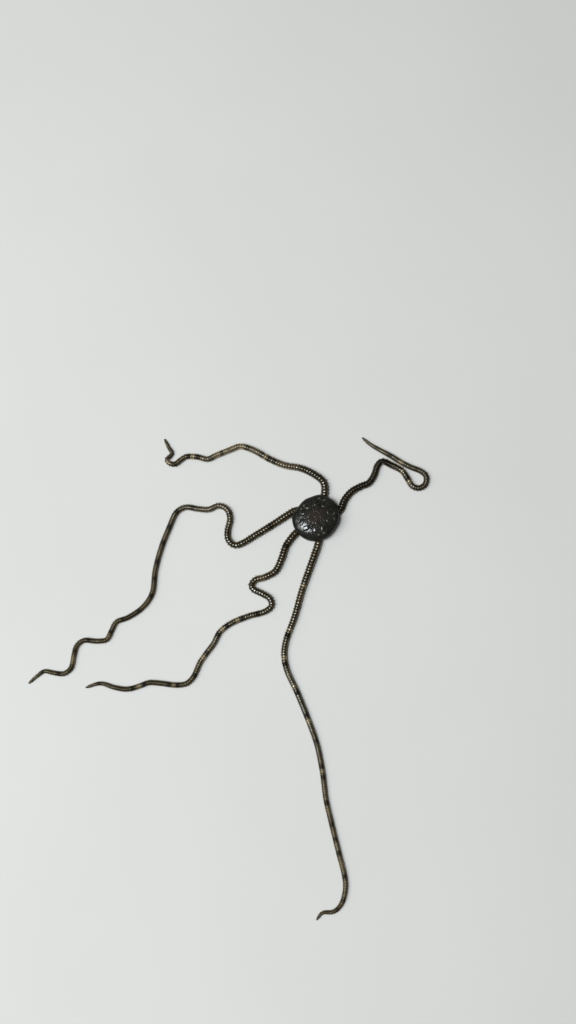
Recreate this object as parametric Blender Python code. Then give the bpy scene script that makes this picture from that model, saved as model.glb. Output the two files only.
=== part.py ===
"""A brittle star at life size, lying mouth down with its five long arms curled about it.

The floor is Z = 0 and the animal rests on it by the flat undersides of its arms and disc.
+Y runs away from the longest arm. Everything is in metres.
"""

import math

import bmesh
import bpy
import numpy as np
from mathutils import Matrix, Vector

MM = 0.001

# Disc
DISC_HEIGHT = 1.9 * MM
DISC_WAIST = 0.85 * MM
DISC_BELLY = 1.35
DISC_SQUARENESS = 2.6
DISC_SEGMENTS = 40
DISC_RINGS = 18
ARM_ANGLES = {"right": 1, "top": 71, "left": 145, "lower_left": 217, "bottom": 287}

# The disc's radius in millimetres at each arm, then half-way round to the next arm
DISC_REACHES = {"right": (3.00, 3.13), "top": (3.00, 2.66), "left": (2.58, 3.00),
                "lower_left": (3.06, 3.10), "bottom": (3.04, 2.88)}

# Radial shields and the plates round the middle of the disc
SHIELD_SIZE = (1.18 * MM, 0.70 * MM, 0.40 * MM)
SHIELD_AT = 0.65
SHIELD_SPREAD = 14
SHIELD_TURN = 30
SHIELD_RISE = 0.09 * MM
MIDDLE_PLATE_SIZE = (0.74 * MM, 0.66 * MM, 0.40 * MM)
MIDDLE_PLATE_AT = 0.27
MIDDLE_PLATE_RISE = 0.07 * MM
PLATE_SIDES = 10
PLATE_FACE = 0.72
SLOPE_STEP = 0.02

# Mouth
MOUTH_RING = 0.98 * MM
MOUTH_RING_THICK = 0.24 * MM
MOUTH_RING_SEGMENTS = (30, 8)
JAW_HEIGHT = 0.60 * MM
JAW_TIP = 0.24 * MM
JAW_BACK = 1.12 * MM
JAW_WIDE = 0.74 * MM
WELL_RADIUS = 1.52 * MM
WELL_DEPTH = 0.90 * MM
WELL_SIDES = 32

# Arms
ARM_HALF_WIDTH = 0.47 * MM
ARM_HALF_WIDTH_FAR = 0.27 * MM
ARM_TAPER = 17 * MM
ARM_HALF_WIDTH_MOUTH = 0.36 * MM
ARM_SWELL = 1.6 * MM
ARM_TIP = 0.09 * MM
ARM_RUN_OUT = 5.0 * MM
ARM_PITCH = 0.95 * MM
ARM_CREST = 0.68
ARM_GROOVE = 0.86
MOST_BULGE = 0.95 * MM
LEAST_RINGS = 3
GAP = 0.30 * MM

# Spines, one each side of every ring, leaning towards the arm's tip
SPINE_LENGTH = 0.31 * MM
SPINE_SHORTEST = 0.09 * MM
SPINE_THICK = 0.30 * MM
SPINE_SIDES = 4
SPINE_ROOT = 0.50
SPINE_HEIGHT = 0.72
SPINE_THICKEST = 0.66
SPINE_CROWDED = 0.4
OWN_NEIGHBOURHOOD = 3.8 * MM
SPINE_LEAN = 36
SPINE_LIFT = 8
SPINE_VARY = 0.12
SPINE_SEED = 5

# The arm's cross-section in half-widths: flat below, round above
ARM_SECTION = [(-0.50, 0.0), (0.50, 0.0), (0.98, 0.42), (0.95, 1.02), (0.48, 1.62),
               (-0.48, 1.62), (-0.95, 1.02), (-0.98, 0.42)]
CHANNEL_SECTION = [(-1.0, -0.8), (1.0, -0.8), (1.0, 0.95), (0.55, 1.46), (-0.55, 1.46),
                   (-1.0, 0.95)]
CHANNEL_LENGTH = 2.9 * MM
CHANNEL_STEPS = 8
CHANNEL_START = 0.9 * MM

# Where each arm lies, in millimetres from the middle of the disc, mouth to tip
ROUTES = {
    "top": [
        (0.5, 1.4), (0.9, 2.3), (1.2, 3.4), (1.0, 4.7), (-0.2, 5.7), (-1.9, 6.5), (-4.0, 6.9),
        (-5.9, 7.7), (-7.8, 8.8), (-9.6, 9.4), (-11.1, 8.9), (-12.8, 8.2), (-13.9, 7.7),
        (-15.2, 8.0), (-16.6, 8.05), (-17.4, 7.55), (-18.1, 7.05), (-18.85, 7.2), (-19.1, 7.7),
        (-18.5, 8.45), (-18.95, 9.3), (-19.5, 10.4),
    ],
    "left": [
        (-1.25, 0.85), (-2.3, 1.05), (-3.6, 0.35), (-5.5, -0.9), (-7.6, -2.2), (-9.2, -3.2),
        (-10.3, -3.5), (-11.1, -2.8), (-11.2, -1.6), (-10.9, -0.1), (-11.3, 1.1), (-12.4, 1.6),
        (-13.7, 1.1), (-15.1, 1.2), (-16.6, 1.4), (-17.8, 0.7), (-18.6, -1.1), (-19.6, -3.8),
        (-20.3, -6.7), (-20.6, -9.5), (-21.7, -11.3), (-23.5, -12.6), (-25.0, -13.2),
        (-25.6, -14.3), (-26.2, -15.4), (-27.5, -15.6), (-29.0, -15.5), (-29.9, -16.2),
        (-30.2, -17.4), (-30.5, -18.9), (-31.4, -19.6), (-32.7, -19.5), (-33.8, -19.3),
        (-34.7, -19.9), (-35.7, -20.8),
    ],
    "lower_left": [
        (-1.2, -0.9), (-2.1, -1.6), (-2.95, -2.45), (-3.8, -3.7), (-4.3, -5.2), (-5.1, -6.8),
        (-6.5, -7.6), (-7.6, -7.9), (-8.1, -8.6), (-7.75, -9.2), (-6.7, -9.7), (-5.8, -10.3),
        (-5.6, -11.2), (-6.5, -11.95), (-8.5, -12.5), (-10.5, -13.3), (-12.0, -14.4),
        (-12.8, -15.9), (-13.7, -17.1), (-14.5, -18.3), (-15.2, -19.9), (-16.1, -20.8),
        (-17.5, -21.0), (-19.2, -20.8), (-20.7, -20.7), (-21.9, -21.1), (-23.4, -21.5),
        (-25.0, -21.3), (-26.8, -20.8), (-28.6, -21.3),
    ],
    "bottom": [
        (0.45, -1.45), (0.5, -2.4), (0.2, -3.75), (-0.75, -6.4), (-1.7, -9.1), (-2.7, -12.6),
        (-3.7, -15.3), (-4.0, -17.3), (-3.6, -19.3), (-2.4, -21.9), (-1.2, -24.8), (0.0, -28.1),
        (0.7, -31.5), (1.1, -34.7), (1.8, -37.7), (2.6, -40.95), (3.25, -43.5), (3.35, -45.1),
        (2.9, -46.7), (1.95, -47.65), (0.6, -47.8), (-0.1, -48.6),
    ],
    "right": [
        (1.5, 0.05), (2.4, 0.35), (3.25, 1.2), (3.7, 2.3), (4.6, 3.4), (5.8, 4.1), (6.9, 4.6),
        (7.6, 5.7), (8.0, 6.85), (8.7, 7.4), (9.8, 6.9), (11.1, 6.2), (11.8, 5.2), (12.4, 4.2),
        (13.3, 3.9), (14.1, 4.4), (14.25, 5.4), (13.6, 6.1), (12.4, 6.6), (11.2, 7.2),
        (9.8, 8.1), (8.4, 8.9), (7.1, 9.7), (6.1, 10.6),
    ],
}
CURVE_STEPS = 16
STRAIGHT = 1e-4
WELD = 0.001 * MM
SHARP_ANGLE = 50

# Colours are linear red, green and blue, then roughness
FINISHES = {
    "disc": ((0.020, 0.021, 0.019), 0.28),
    "arm": ((0.048, 0.041, 0.027), 0.34),
    "jaw": ((0.120, 0.098, 0.066), 0.45),
}


def clear_scene():
    for thing in list(bpy.data.objects):
        bpy.data.objects.remove(thing)


def make_collection(name):
    group = bpy.data.collections.new(name)
    bpy.context.scene.collection.children.link(group)
    return group


def make_material(name):
    colour, roughness = FINISHES[name]
    material = bpy.data.materials.new(name)
    material.use_nodes = True
    shader = material.node_tree.nodes["Principled BSDF"]
    shader.inputs["Base Color"].default_value = (*colour, 1.0)
    shader.inputs["Roughness"].default_value = roughness
    shader.inputs["Metallic"].default_value = 0.0
    return material


def take_active(name, group):
    """Name the object just added and move it to the given collection."""
    thing = bpy.context.active_object
    thing.name = name
    for holder in list(thing.users_collection):
        holder.objects.unlink(thing)
    group.objects.link(thing)
    return thing


def evaluated_copy(thing):
    """The object's mesh with its modifiers, or its curve's bevel, worked out."""
    bpy.context.view_layer.update()
    graph = bpy.context.evaluated_depsgraph_get()
    return bpy.data.meshes.new_from_object(thing.evaluated_get(graph))


def curve_to_mesh(curve, group):
    """A closed mesh object from a beveled curve, its caps welded, the curve then removed."""
    name = curve.name
    mesh = evaluated_copy(curve)
    work = bmesh.new()
    work.from_mesh(mesh)
    bmesh.ops.remove_doubles(work, verts=work.verts, dist=WELD)
    bmesh.ops.recalc_face_normals(work, faces=work.faces)
    work.to_mesh(mesh)
    work.free()
    solid = bpy.data.objects.new(name + "_solid", mesh)
    solid.matrix_world = curve.matrix_world
    group.objects.link(solid)
    bpy.data.objects.remove(curve)
    solid.name = name
    return solid


def keep_largest(thing):
    """Drop every closed surface of the object but the one with the most faces."""
    work = bmesh.new()
    work.from_mesh(thing.data)
    left = set(work.faces)
    shells = []
    while left:
        front = [left.pop()]
        shell = list(front)
        while front:
            near = {side for edge in front.pop().edges for side in edge.link_faces} & left
            left -= near
            front.extend(near)
            shell.extend(near)
        shells.append(shell)
    shells.sort(key=len)
    for shell in shells[:-1]:
        bmesh.ops.delete(work, geom=shell, context="FACES")
    work.to_mesh(thing.data)
    work.free()


def boolean(thing, operation, group):
    """Join the group's closed meshes to the object, or cut them from it, and apply."""
    step = thing.modifiers.new(operation.lower(), "BOOLEAN")
    step.operation = operation
    step.operand_type = "COLLECTION"
    step.collection = group
    step.solver = "EXACT"
    mesh = evaluated_copy(thing)
    thing.modifiers.clear()
    thing.data = mesh
    keep_largest(thing)


def drop_collection(group):
    for piece in list(group.objects):
        bpy.data.objects.remove(piece)
    bpy.data.collections.remove(group)


def finish(thing, material, holder):
    """Give the node its material and smooth shading, and hang it on the holder."""
    thing.data.materials.clear()
    thing.data.materials.append(material)
    thing.data.shade_smooth()
    thing.data.set_sharp_from_angle(angle=math.radians(SHARP_ANGLE))
    thing.parent = holder


def smooth_route(points):
    """A Catmull-Rom curve through the route's points, in metres, as an array of places."""
    knots = np.array(points, dtype=float) * MM
    knots = np.vstack([2 * knots[0] - knots[1], knots, 2 * knots[-1] - knots[-2]])
    share = np.linspace(0.0, 1.0, CURVE_STEPS, endpoint=False)[:, None]
    pieces = []
    for before, start, end, after in zip(knots, knots[1:], knots[2:], knots[3:]):
        pieces.append(0.5 * (2 * start + (end - before) * share
                             + (2 * before - 5 * start + 4 * end - after) * share ** 2
                             + (3 * start - before - 3 * end + after) * share ** 3))
    return np.vstack(pieces + [knots[-2:-1]])


class Track:
    """An arm's middle line, read by the distance from its mouth end."""

    def __init__(self, points):
        self.places = smooth_route(points)
        steps = np.linalg.norm(np.diff(self.places, axis=0), axis=1)
        self.distances = np.concatenate([[0.0], np.cumsum(steps)])
        self.length = float(self.distances[-1])

    def at(self, distance):
        x = np.interp(distance, self.distances, self.places[:, 0])
        y = np.interp(distance, self.distances, self.places[:, 1])
        return np.stack([x, y], axis=-1)

    def half_width(self, distance):
        """Half the arm's width: swelling out of the disc, then a taper that eases to the far
        width, and a run-out to the tip."""
        extra = (ARM_HALF_WIDTH - ARM_HALF_WIDTH_FAR) * np.exp(-distance / ARM_TAPER)
        swell = np.clip(distance / ARM_SWELL, 0.0, 1.0)
        root = ARM_HALF_WIDTH_MOUTH + (ARM_HALF_WIDTH_FAR + extra - ARM_HALF_WIDTH_MOUTH) * swell
        run_out = np.sqrt(np.clip((self.length - distance) / ARM_RUN_OUT, 0.0, 1.0))
        return ARM_TIP + (root - ARM_TIP) * run_out


def ring_starts(track):
    """Where the arm's rings begin, evenly spaced, with the arm's end as the last place."""
    count = round(track.length / ARM_PITCH)
    return np.linspace(0.0, track.length, count + 1)


def split_at_bends(track, starts):
    """Divide the rings into lengths that bow out from their chord by no more than the bulge."""
    places = track.at(starts)
    cuts = [0]
    for end in range(2, len(starts)):
        chord = places[end] - places[cuts[-1]]
        across = np.array([-chord[1], chord[0]]) / np.linalg.norm(chord)
        bulge = np.abs((places[cuts[-1]:end + 1] - places[cuts[-1]]) @ across).max()
        if bulge > MOST_BULGE:
            cuts.append(end - 1)
    if len(starts) - 1 - cuts[-1] < LEAST_RINGS:
        cuts.pop()
    return list(zip(cuts, cuts[1:] + [len(starts) - 1]))


def flat_outline(name, points, group):
    """A closed flat curve through the points, for use as a cross-section."""
    data = bpy.data.curves.new(name, "CURVE")
    data.dimensions = "2D"
    data.fill_mode = "NONE"
    line = data.splines.new("POLY")
    line.points.add(len(points) - 1)
    for point, (x, y) in zip(line.points, points):
        point.co = (x, y, 0.0, 1.0)
    line.use_cyclic_u = True
    outline = bpy.data.objects.new(name, data)
    outline.hide_render = True
    outline.display_type = "WIRE"
    group.objects.link(outline)
    return outline


def section_curve(name, section, places, half_widths, group):
    """A curve on the floor through the places that carries the section, scaled at each."""
    data = bpy.data.curves.new(name, "CURVE")
    data.dimensions = "3D"
    data.twist_mode = "Z_UP"
    data.bevel_mode = "OBJECT"
    data.bevel_object = section
    data.use_fill_caps = True
    line = data.splines.new("POLY")
    line.points.add(len(places) - 1)
    for point, (x, y), half_width in zip(line.points, places, half_widths):
        point.co = (x, y, 0.0, 1.0)
        point.radius = half_width
    curve = bpy.data.objects.new(name, data)
    group.objects.link(curve)
    return curve


def turning_radius(track, distance):
    """The bend's radius at a distance, negative where the arm turns to its right."""
    step = ARM_PITCH / 2
    before, here, after = track.at(np.array([distance - step, distance, distance + step]))
    first = here - before
    second = after - here
    turn = math.atan2(first[0] * second[1] - first[1] * second[0], first @ second)
    return step / turn if abs(turn) > STRAIGHT else math.inf


def room_for_spine(place, tip, arm, distance, tracks):
    """Whether a spine's tip stays clear of the disc, the other arms and this arm's own loops."""
    if np.linalg.norm(place) < max(disc_knots()[1]) + GAP:
        return False
    for other, track in tracks.items():
        away = np.linalg.norm(track.places - tip, axis=1)
        needed = track.half_width(track.distances) + SPINE_LENGTH + GAP
        near = away < needed
        if other == arm:
            near &= np.abs(track.distances - distance) > OWN_NEIGHBOURHOOD
        if near.any():
            return False
    return True


def make_spine(root, aim, height, length, thick, group):
    """A thin cone from inside the arm's flank, rising a little as it goes out."""
    bpy.ops.mesh.primitive_cone_add(vertices=SPINE_SIDES, radius1=thick / 2, radius2=0.0,
                                    depth=length)
    spine = take_active("spine", group)
    rise = math.tan(math.radians(SPINE_LIFT))
    way = Vector((aim[0], aim[1], rise)).normalized()
    turn = way.to_track_quat("Z", "Y").to_matrix().to_4x4()
    place = Matrix.Translation(Vector((root[0], root[1], height)) + way * length / 2)
    spine.data.transform(place @ turn)


def add_spines(arm, tracks, crests, draws, group):
    """A spine on each side of each ring, shorter inside a tight bend and where the arm thins."""
    track = tracks[arm]
    for distance in crests:
        place = track.at(distance)
        ahead = track.at(distance + ARM_PITCH / 4) - track.at(distance - ARM_PITCH / 4)
        ahead /= np.linalg.norm(ahead)
        half_width = float(track.half_width(distance))
        size = math.sqrt(half_width / ARM_HALF_WIDTH)
        bend = turning_radius(track, distance)
        for side in (1, -1):
            outward = side * np.array([-ahead[1], ahead[0]])
            length = SPINE_LENGTH * size * (1 + SPINE_VARY * draws.uniform(-1, 1))
            if side * bend > 0:
                length = min(length, SPINE_CROWDED * (abs(bend) - half_width))
            lean = math.radians(SPINE_LEAN * (1 + SPINE_VARY * draws.uniform(-1, 1)))
            aim = outward * math.cos(lean) + ahead * math.sin(lean)
            root = place + SPINE_ROOT * half_width * outward
            reach = length + (1 - SPINE_ROOT) * half_width
            thick = min(SPINE_THICK, SPINE_THICKEST * half_width)
            clear = room_for_spine(place, root + reach * aim, arm, distance, tracks)
            if clear and length > SPINE_SHORTEST:
                make_spine(root, aim, SPINE_HEIGHT * half_width, reach, thick, group)


def make_arm_length(name, track, starts, section, group):
    """One length of an arm: a groove at the start of each ring and a crest further on."""
    crests = starts[:-1] + ARM_CREST * np.diff(starts)
    ends = starts.copy()
    ends[0] += GAP / 2
    if starts[-1] < track.length:
        ends[-1] -= GAP / 2
    distances = np.empty(len(ends) + len(crests))
    distances[0::2] = ends
    distances[1::2] = crests
    half_widths = track.half_width(distances)
    half_widths[0::2] *= ARM_GROOVE
    curve = section_curve(name, section, track.at(distances), half_widths, group)
    return curve_to_mesh(curve, group)


def make_arm(arm, tracks, section, draws, group, holder, material):
    """The arm's lengths, each fused with the spines that grow on it."""
    track = tracks[arm]
    starts = ring_starts(track)
    for number, (first, last) in enumerate(split_at_bends(track, starts), 1):
        name = f"arm_{arm}_{number}"
        length = make_arm_length(name, track, starts[first:last + 1], section, group)
        crests = starts[first:last] + ARM_CREST * np.diff(starts[first:last + 1])
        spines = make_collection(name + "_spines")
        add_spines(arm, tracks, crests[crests < track.length - ARM_PITCH], draws, spines)
        if spines.objects:
            boolean(length, "UNION", spines)
        drop_collection(spines)
        finish(length, material, holder)


def between_arms():
    """The bearings in degrees half-way from each arm to the next one round the disc."""
    bearings = list(ARM_ANGLES.values())
    return [(here + after) / 2 for here, after in zip(bearings, bearings[1:] + [bearings[0] + 360])]


def disc_knots():
    """Bearings round the disc, at the arms and half-way between, and the disc's radius there."""
    bearings = np.array(list(zip(ARM_ANGLES.values(), between_arms()))).ravel()
    reaches = np.array([DISC_REACHES[arm] for arm in ARM_ANGLES]).ravel() * MM
    return np.append(bearings, bearings[0] + 360), np.append(reaches, reaches[0])


def disc_reach(angle):
    """The disc's radius at a bearing, easing from each knot to the next."""
    bearings, reaches = disc_knots()
    turned = (math.degrees(angle) - bearings[0]) % 360
    place = np.interp(turned, bearings - bearings[0], np.arange(len(bearings)))
    before = int(place) % (len(bearings) - 1)
    ease = (1 - math.cos(math.pi * (place % 1))) / 2
    return reaches[before] + (reaches[before + 1] - reaches[before]) * ease


def disc_top(reach_share):
    """The height of the disc's top at a share of its radius, on a super-ellipse."""
    power = DISC_SQUARENESS
    rise = max(0.0, 1.0 - reach_share ** power) ** (1.0 / power)
    return DISC_WAIST + (DISC_HEIGHT - DISC_WAIST) * rise


def shape_disc(body):
    """Turn a unit sphere into the puffed disc, with its underside cut flat at the floor."""
    power = 2.0 / DISC_SQUARENESS
    for vertex in body.data.vertices:
        x, y, z = vertex.co
        out = math.hypot(x, y)
        angle = math.atan2(y, x)
        reach = disc_reach(angle) * min(1.0, out) ** power
        half = DISC_HEIGHT - DISC_WAIST if z > 0 else DISC_WAIST * DISC_BELLY
        height = DISC_WAIST + math.copysign(abs(z) ** power, z) * half
        vertex.co = (reach * math.cos(angle), reach * math.sin(angle), max(0.0, height))


def flatten_base(body):
    """Merge the faces that lie on the floor into one."""
    work = bmesh.new()
    work.from_mesh(body.data)
    base = [face for face in work.faces if all(v.co.z == 0.0 for v in face.verts)]
    bmesh.ops.dissolve_faces(work, faces=base, use_verts=True)
    work.to_mesh(body.data)
    work.free()


def make_plate(name, size, angle, reach_share, turn, rise, group):
    """An oval plate with a bevelled rim, set on the disc's top with its root sunk in."""
    bpy.ops.mesh.primitive_cone_add(vertices=PLATE_SIDES, radius1=0.5, radius2=PLATE_FACE / 2,
                                    depth=1.0)
    plate = take_active(name, group)
    reach = disc_reach(angle)
    fall = disc_top(reach_share + SLOPE_STEP) - disc_top(reach_share)
    slope = math.atan(fall / (SLOPE_STEP * reach))
    lie = (Matrix.Rotation(angle, 4, "Z") @ Matrix.Rotation(-slope, 4, "Y")
           @ Matrix.Rotation(turn, 4, "Z"))
    out = reach * reach_share
    top = Vector((out * math.cos(angle), out * math.sin(angle), disc_top(reach_share)))
    middle = top + lie @ Vector((0.0, 0.0, rise - size[2] / 2))
    plate.data.transform(Matrix.Translation(middle) @ lie @ Matrix.Diagonal((*size, 1.0)))


def add_disc_plates(group):
    """A pair of radial shields at each arm, and a plate for each arm round a middle one."""
    make_plate("middle", MIDDLE_PLATE_SIZE, 0.0, 0.0, 0.0, MIDDLE_PLATE_RISE, group)
    for arm, angle in ARM_ANGLES.items():
        for side in (-1, 1):
            make_plate(f"shield_{arm}_{side}", SHIELD_SIZE,
                       math.radians(angle + side * SHIELD_SPREAD), SHIELD_AT,
                       math.radians(-side * SHIELD_TURN), SHIELD_RISE, group)
        make_plate(f"middle_{arm}", MIDDLE_PLATE_SIZE, math.radians(angle), MIDDLE_PLATE_AT,
                   0.0, MIDDLE_PLATE_RISE, group)


def make_disc(tracks, group, cutters, holder, material):
    """The disc with its plates, cut below by a channel for each arm and a well for the jaws."""
    bpy.ops.mesh.primitive_uv_sphere_add(segments=DISC_SEGMENTS, ring_count=DISC_RINGS,
                                         radius=1.0)
    body = take_active("disc", group)
    shape_disc(body)
    flatten_base(body)
    plates = make_collection("disc_plates")
    add_disc_plates(plates)
    boolean(body, "UNION", plates)
    drop_collection(plates)
    channel = flat_outline("channel_section", CHANNEL_SECTION, cutters)
    hollows = make_collection("disc_hollows")
    for arm, track in tracks.items():
        add_channel(arm, track, channel, hollows)
    add_jaw_well(hollows)
    boolean(body, "DIFFERENCE", hollows)
    drop_collection(hollows)
    finish(body, material, holder)


def add_channel(arm, track, section, group):
    """A cutter along the arm's first stretch, from inside the jaws' well to past the rim."""
    places = track.at(np.linspace(0.0, CHANNEL_LENGTH, CHANNEL_STEPS))
    start = places[0] * CHANNEL_START / np.linalg.norm(places[0])
    places = np.vstack([start, places])
    half_widths = np.full(len(places), ARM_HALF_WIDTH + GAP)
    curve_to_mesh(section_curve("channel_" + arm, section, places, half_widths, group), group)


def add_jaw_well(group):
    bpy.ops.mesh.primitive_cylinder_add(vertices=WELL_SIDES, radius=WELL_RADIUS,
                                        depth=2 * WELL_DEPTH)
    take_active("jaw_well", group)


def make_jaws(group, holder, material):
    """Five wedge-shaped jaws that point at the mouth between the arms, on one ring."""
    around, across = MOUTH_RING_SEGMENTS
    bpy.ops.mesh.primitive_torus_add(major_radius=MOUTH_RING, minor_radius=MOUTH_RING_THICK,
                                     major_segments=around, minor_segments=across)
    ring = take_active("jaws", group)
    ring.data.transform(Matrix.Translation((0.0, 0.0, JAW_HEIGHT / 2)))
    wedges = make_collection("jaw_wedges")
    for bearing in between_arms():
        add_jaw(math.radians(bearing), wedges)
    boolean(ring, "UNION", wedges)
    drop_collection(wedges)
    finish(ring, material, holder)


def add_jaw(angle, group):
    """A three-sided prism with its sharp end towards the mouth."""
    bpy.ops.mesh.primitive_cylinder_add(vertices=3, radius=1.0, depth=JAW_HEIGHT)
    jaw = take_active("jaw", group)
    stretch = (JAW_BACK - JAW_TIP) / 1.5
    spread = JAW_WIDE / math.sqrt(3.0)
    shape = (Matrix.Rotation(angle, 4, "Z")
             @ Matrix.Translation((JAW_TIP + stretch, 0.0, JAW_HEIGHT / 2))
             @ Matrix.Diagonal((stretch, spread, 1.0, 1.0))
             @ Matrix.Rotation(math.pi / 2, 4, "Z"))
    jaw.data.transform(shape)


def make_holder(tracks, group):
    """An empty that puts the middle of the whole animal's outline over the origin."""
    low = np.min([t.places.min(axis=0) for t in tracks.values()], axis=0)
    high = np.max([t.places.max(axis=0) for t in tracks.values()], axis=0)
    holder = bpy.data.objects.new("brittle_star_frame", None)
    middle = (low + high) / 2
    holder.location = (-middle[0], -middle[1], 0.0)
    group.objects.link(holder)
    return holder


def main():
    clear_scene()
    group = make_collection("brittle_star")
    cutters = make_collection("cutters")
    tracks = {arm: Track(points) for arm, points in ROUTES.items()}
    holder = make_holder(tracks, group)
    section = flat_outline("arm_section", ARM_SECTION, cutters)
    arm_material = make_material("arm")
    make_disc(tracks, group, cutters, holder, make_material("disc"))
    make_jaws(group, holder, make_material("jaw"))
    draws = np.random.default_rng(SPINE_SEED)
    for arm in tracks:
        make_arm(arm, tracks, section, draws, group, holder, arm_material)


main()
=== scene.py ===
"""The looks of a small long-armed brittle star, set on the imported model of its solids.

The arms are skinned and plated segment by segment along the same routes as the solids, and the
disc, shields and mouth are laid on the same forms. Lengths are in metres, +Z is up, and the
animal lies on the floor at Z = 0.
"""

import math

import bpy
import numpy as np
from bpy.props import FloatProperty, FloatVectorProperty, IntProperty, PointerProperty
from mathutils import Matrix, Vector


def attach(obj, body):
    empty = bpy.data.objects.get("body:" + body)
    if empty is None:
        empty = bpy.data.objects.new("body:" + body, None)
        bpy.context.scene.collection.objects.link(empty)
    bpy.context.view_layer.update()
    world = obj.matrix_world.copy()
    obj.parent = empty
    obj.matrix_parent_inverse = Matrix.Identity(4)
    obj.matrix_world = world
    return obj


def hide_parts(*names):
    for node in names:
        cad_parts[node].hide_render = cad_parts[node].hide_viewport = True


bl_info = {
    "name": "Brittle Star",
    "version": (1, 0, 0),
    "blender": (4, 5, 0),
    "location": "3D View > Sidebar > Brittle Star",
    "description": "Builds a life-size brittle star, with its plates, spines, mouth and stage",
    "category": "Object",
}

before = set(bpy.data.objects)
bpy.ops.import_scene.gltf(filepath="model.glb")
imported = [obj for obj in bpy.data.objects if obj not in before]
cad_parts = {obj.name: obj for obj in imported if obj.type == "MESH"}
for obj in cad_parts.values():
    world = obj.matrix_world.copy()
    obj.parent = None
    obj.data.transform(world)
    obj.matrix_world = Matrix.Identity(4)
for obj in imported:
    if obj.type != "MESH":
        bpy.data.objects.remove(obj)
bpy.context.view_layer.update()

MM = 0.001

# The disc's form, as in the solids
DISC_HEIGHT = 1.9 * MM
DISC_WAIST = 0.85 * MM
DISC_BELLY = 1.35
DISC_POWER = 2 / 2.6
MEAN_REACH = 2.95 * MM
MERIDIAN_STEPS = 240

# Each arm's bearing in degrees, and the disc's radius in millimetres there and half-way to the next
ARM_ANGLES = {"right": 1, "top": 71, "left": 145, "lower_left": 217, "bottom": 287}
DISC_REACHES = {"right": (3.00, 3.13), "top": (3.00, 2.66), "left": (2.58, 3.00),
                "lower_left": (3.06, 3.10), "bottom": (3.04, 2.88)}

# The arms' form, as in the solids
ARM_HALF_WIDTH = 0.47 * MM
ARM_HALF_WIDTH_FAR = 0.27 * MM
ARM_TAPER = 17 * MM
ARM_HALF_WIDTH_MOUTH = 0.36 * MM
ARM_SWELL = 1.6 * MM
ARM_TIP = 0.09 * MM
ARM_RUN_OUT = 5.0 * MM
SECTION_WIDE = 0.93
SECTION_MIDDLE = 0.80
SECTION_OVER = 0.82
SECTION_UNDER = 0.95
SECTION_POWER = 2 / 2.15
CURVE_STEPS = 16

# The share of an arm over which its segments grow shorter, and their length at its tip as a share
SEGMENT_EASE = 0.4
SEGMENT_TIP = 0.6

# How far apart an arm is read for its direction, its section's slope and its bend
SLOPE_STEP = 0.08 * MM
TURN_STEP = 0.02
BEND_STEP = 0.5 * MM

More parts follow.
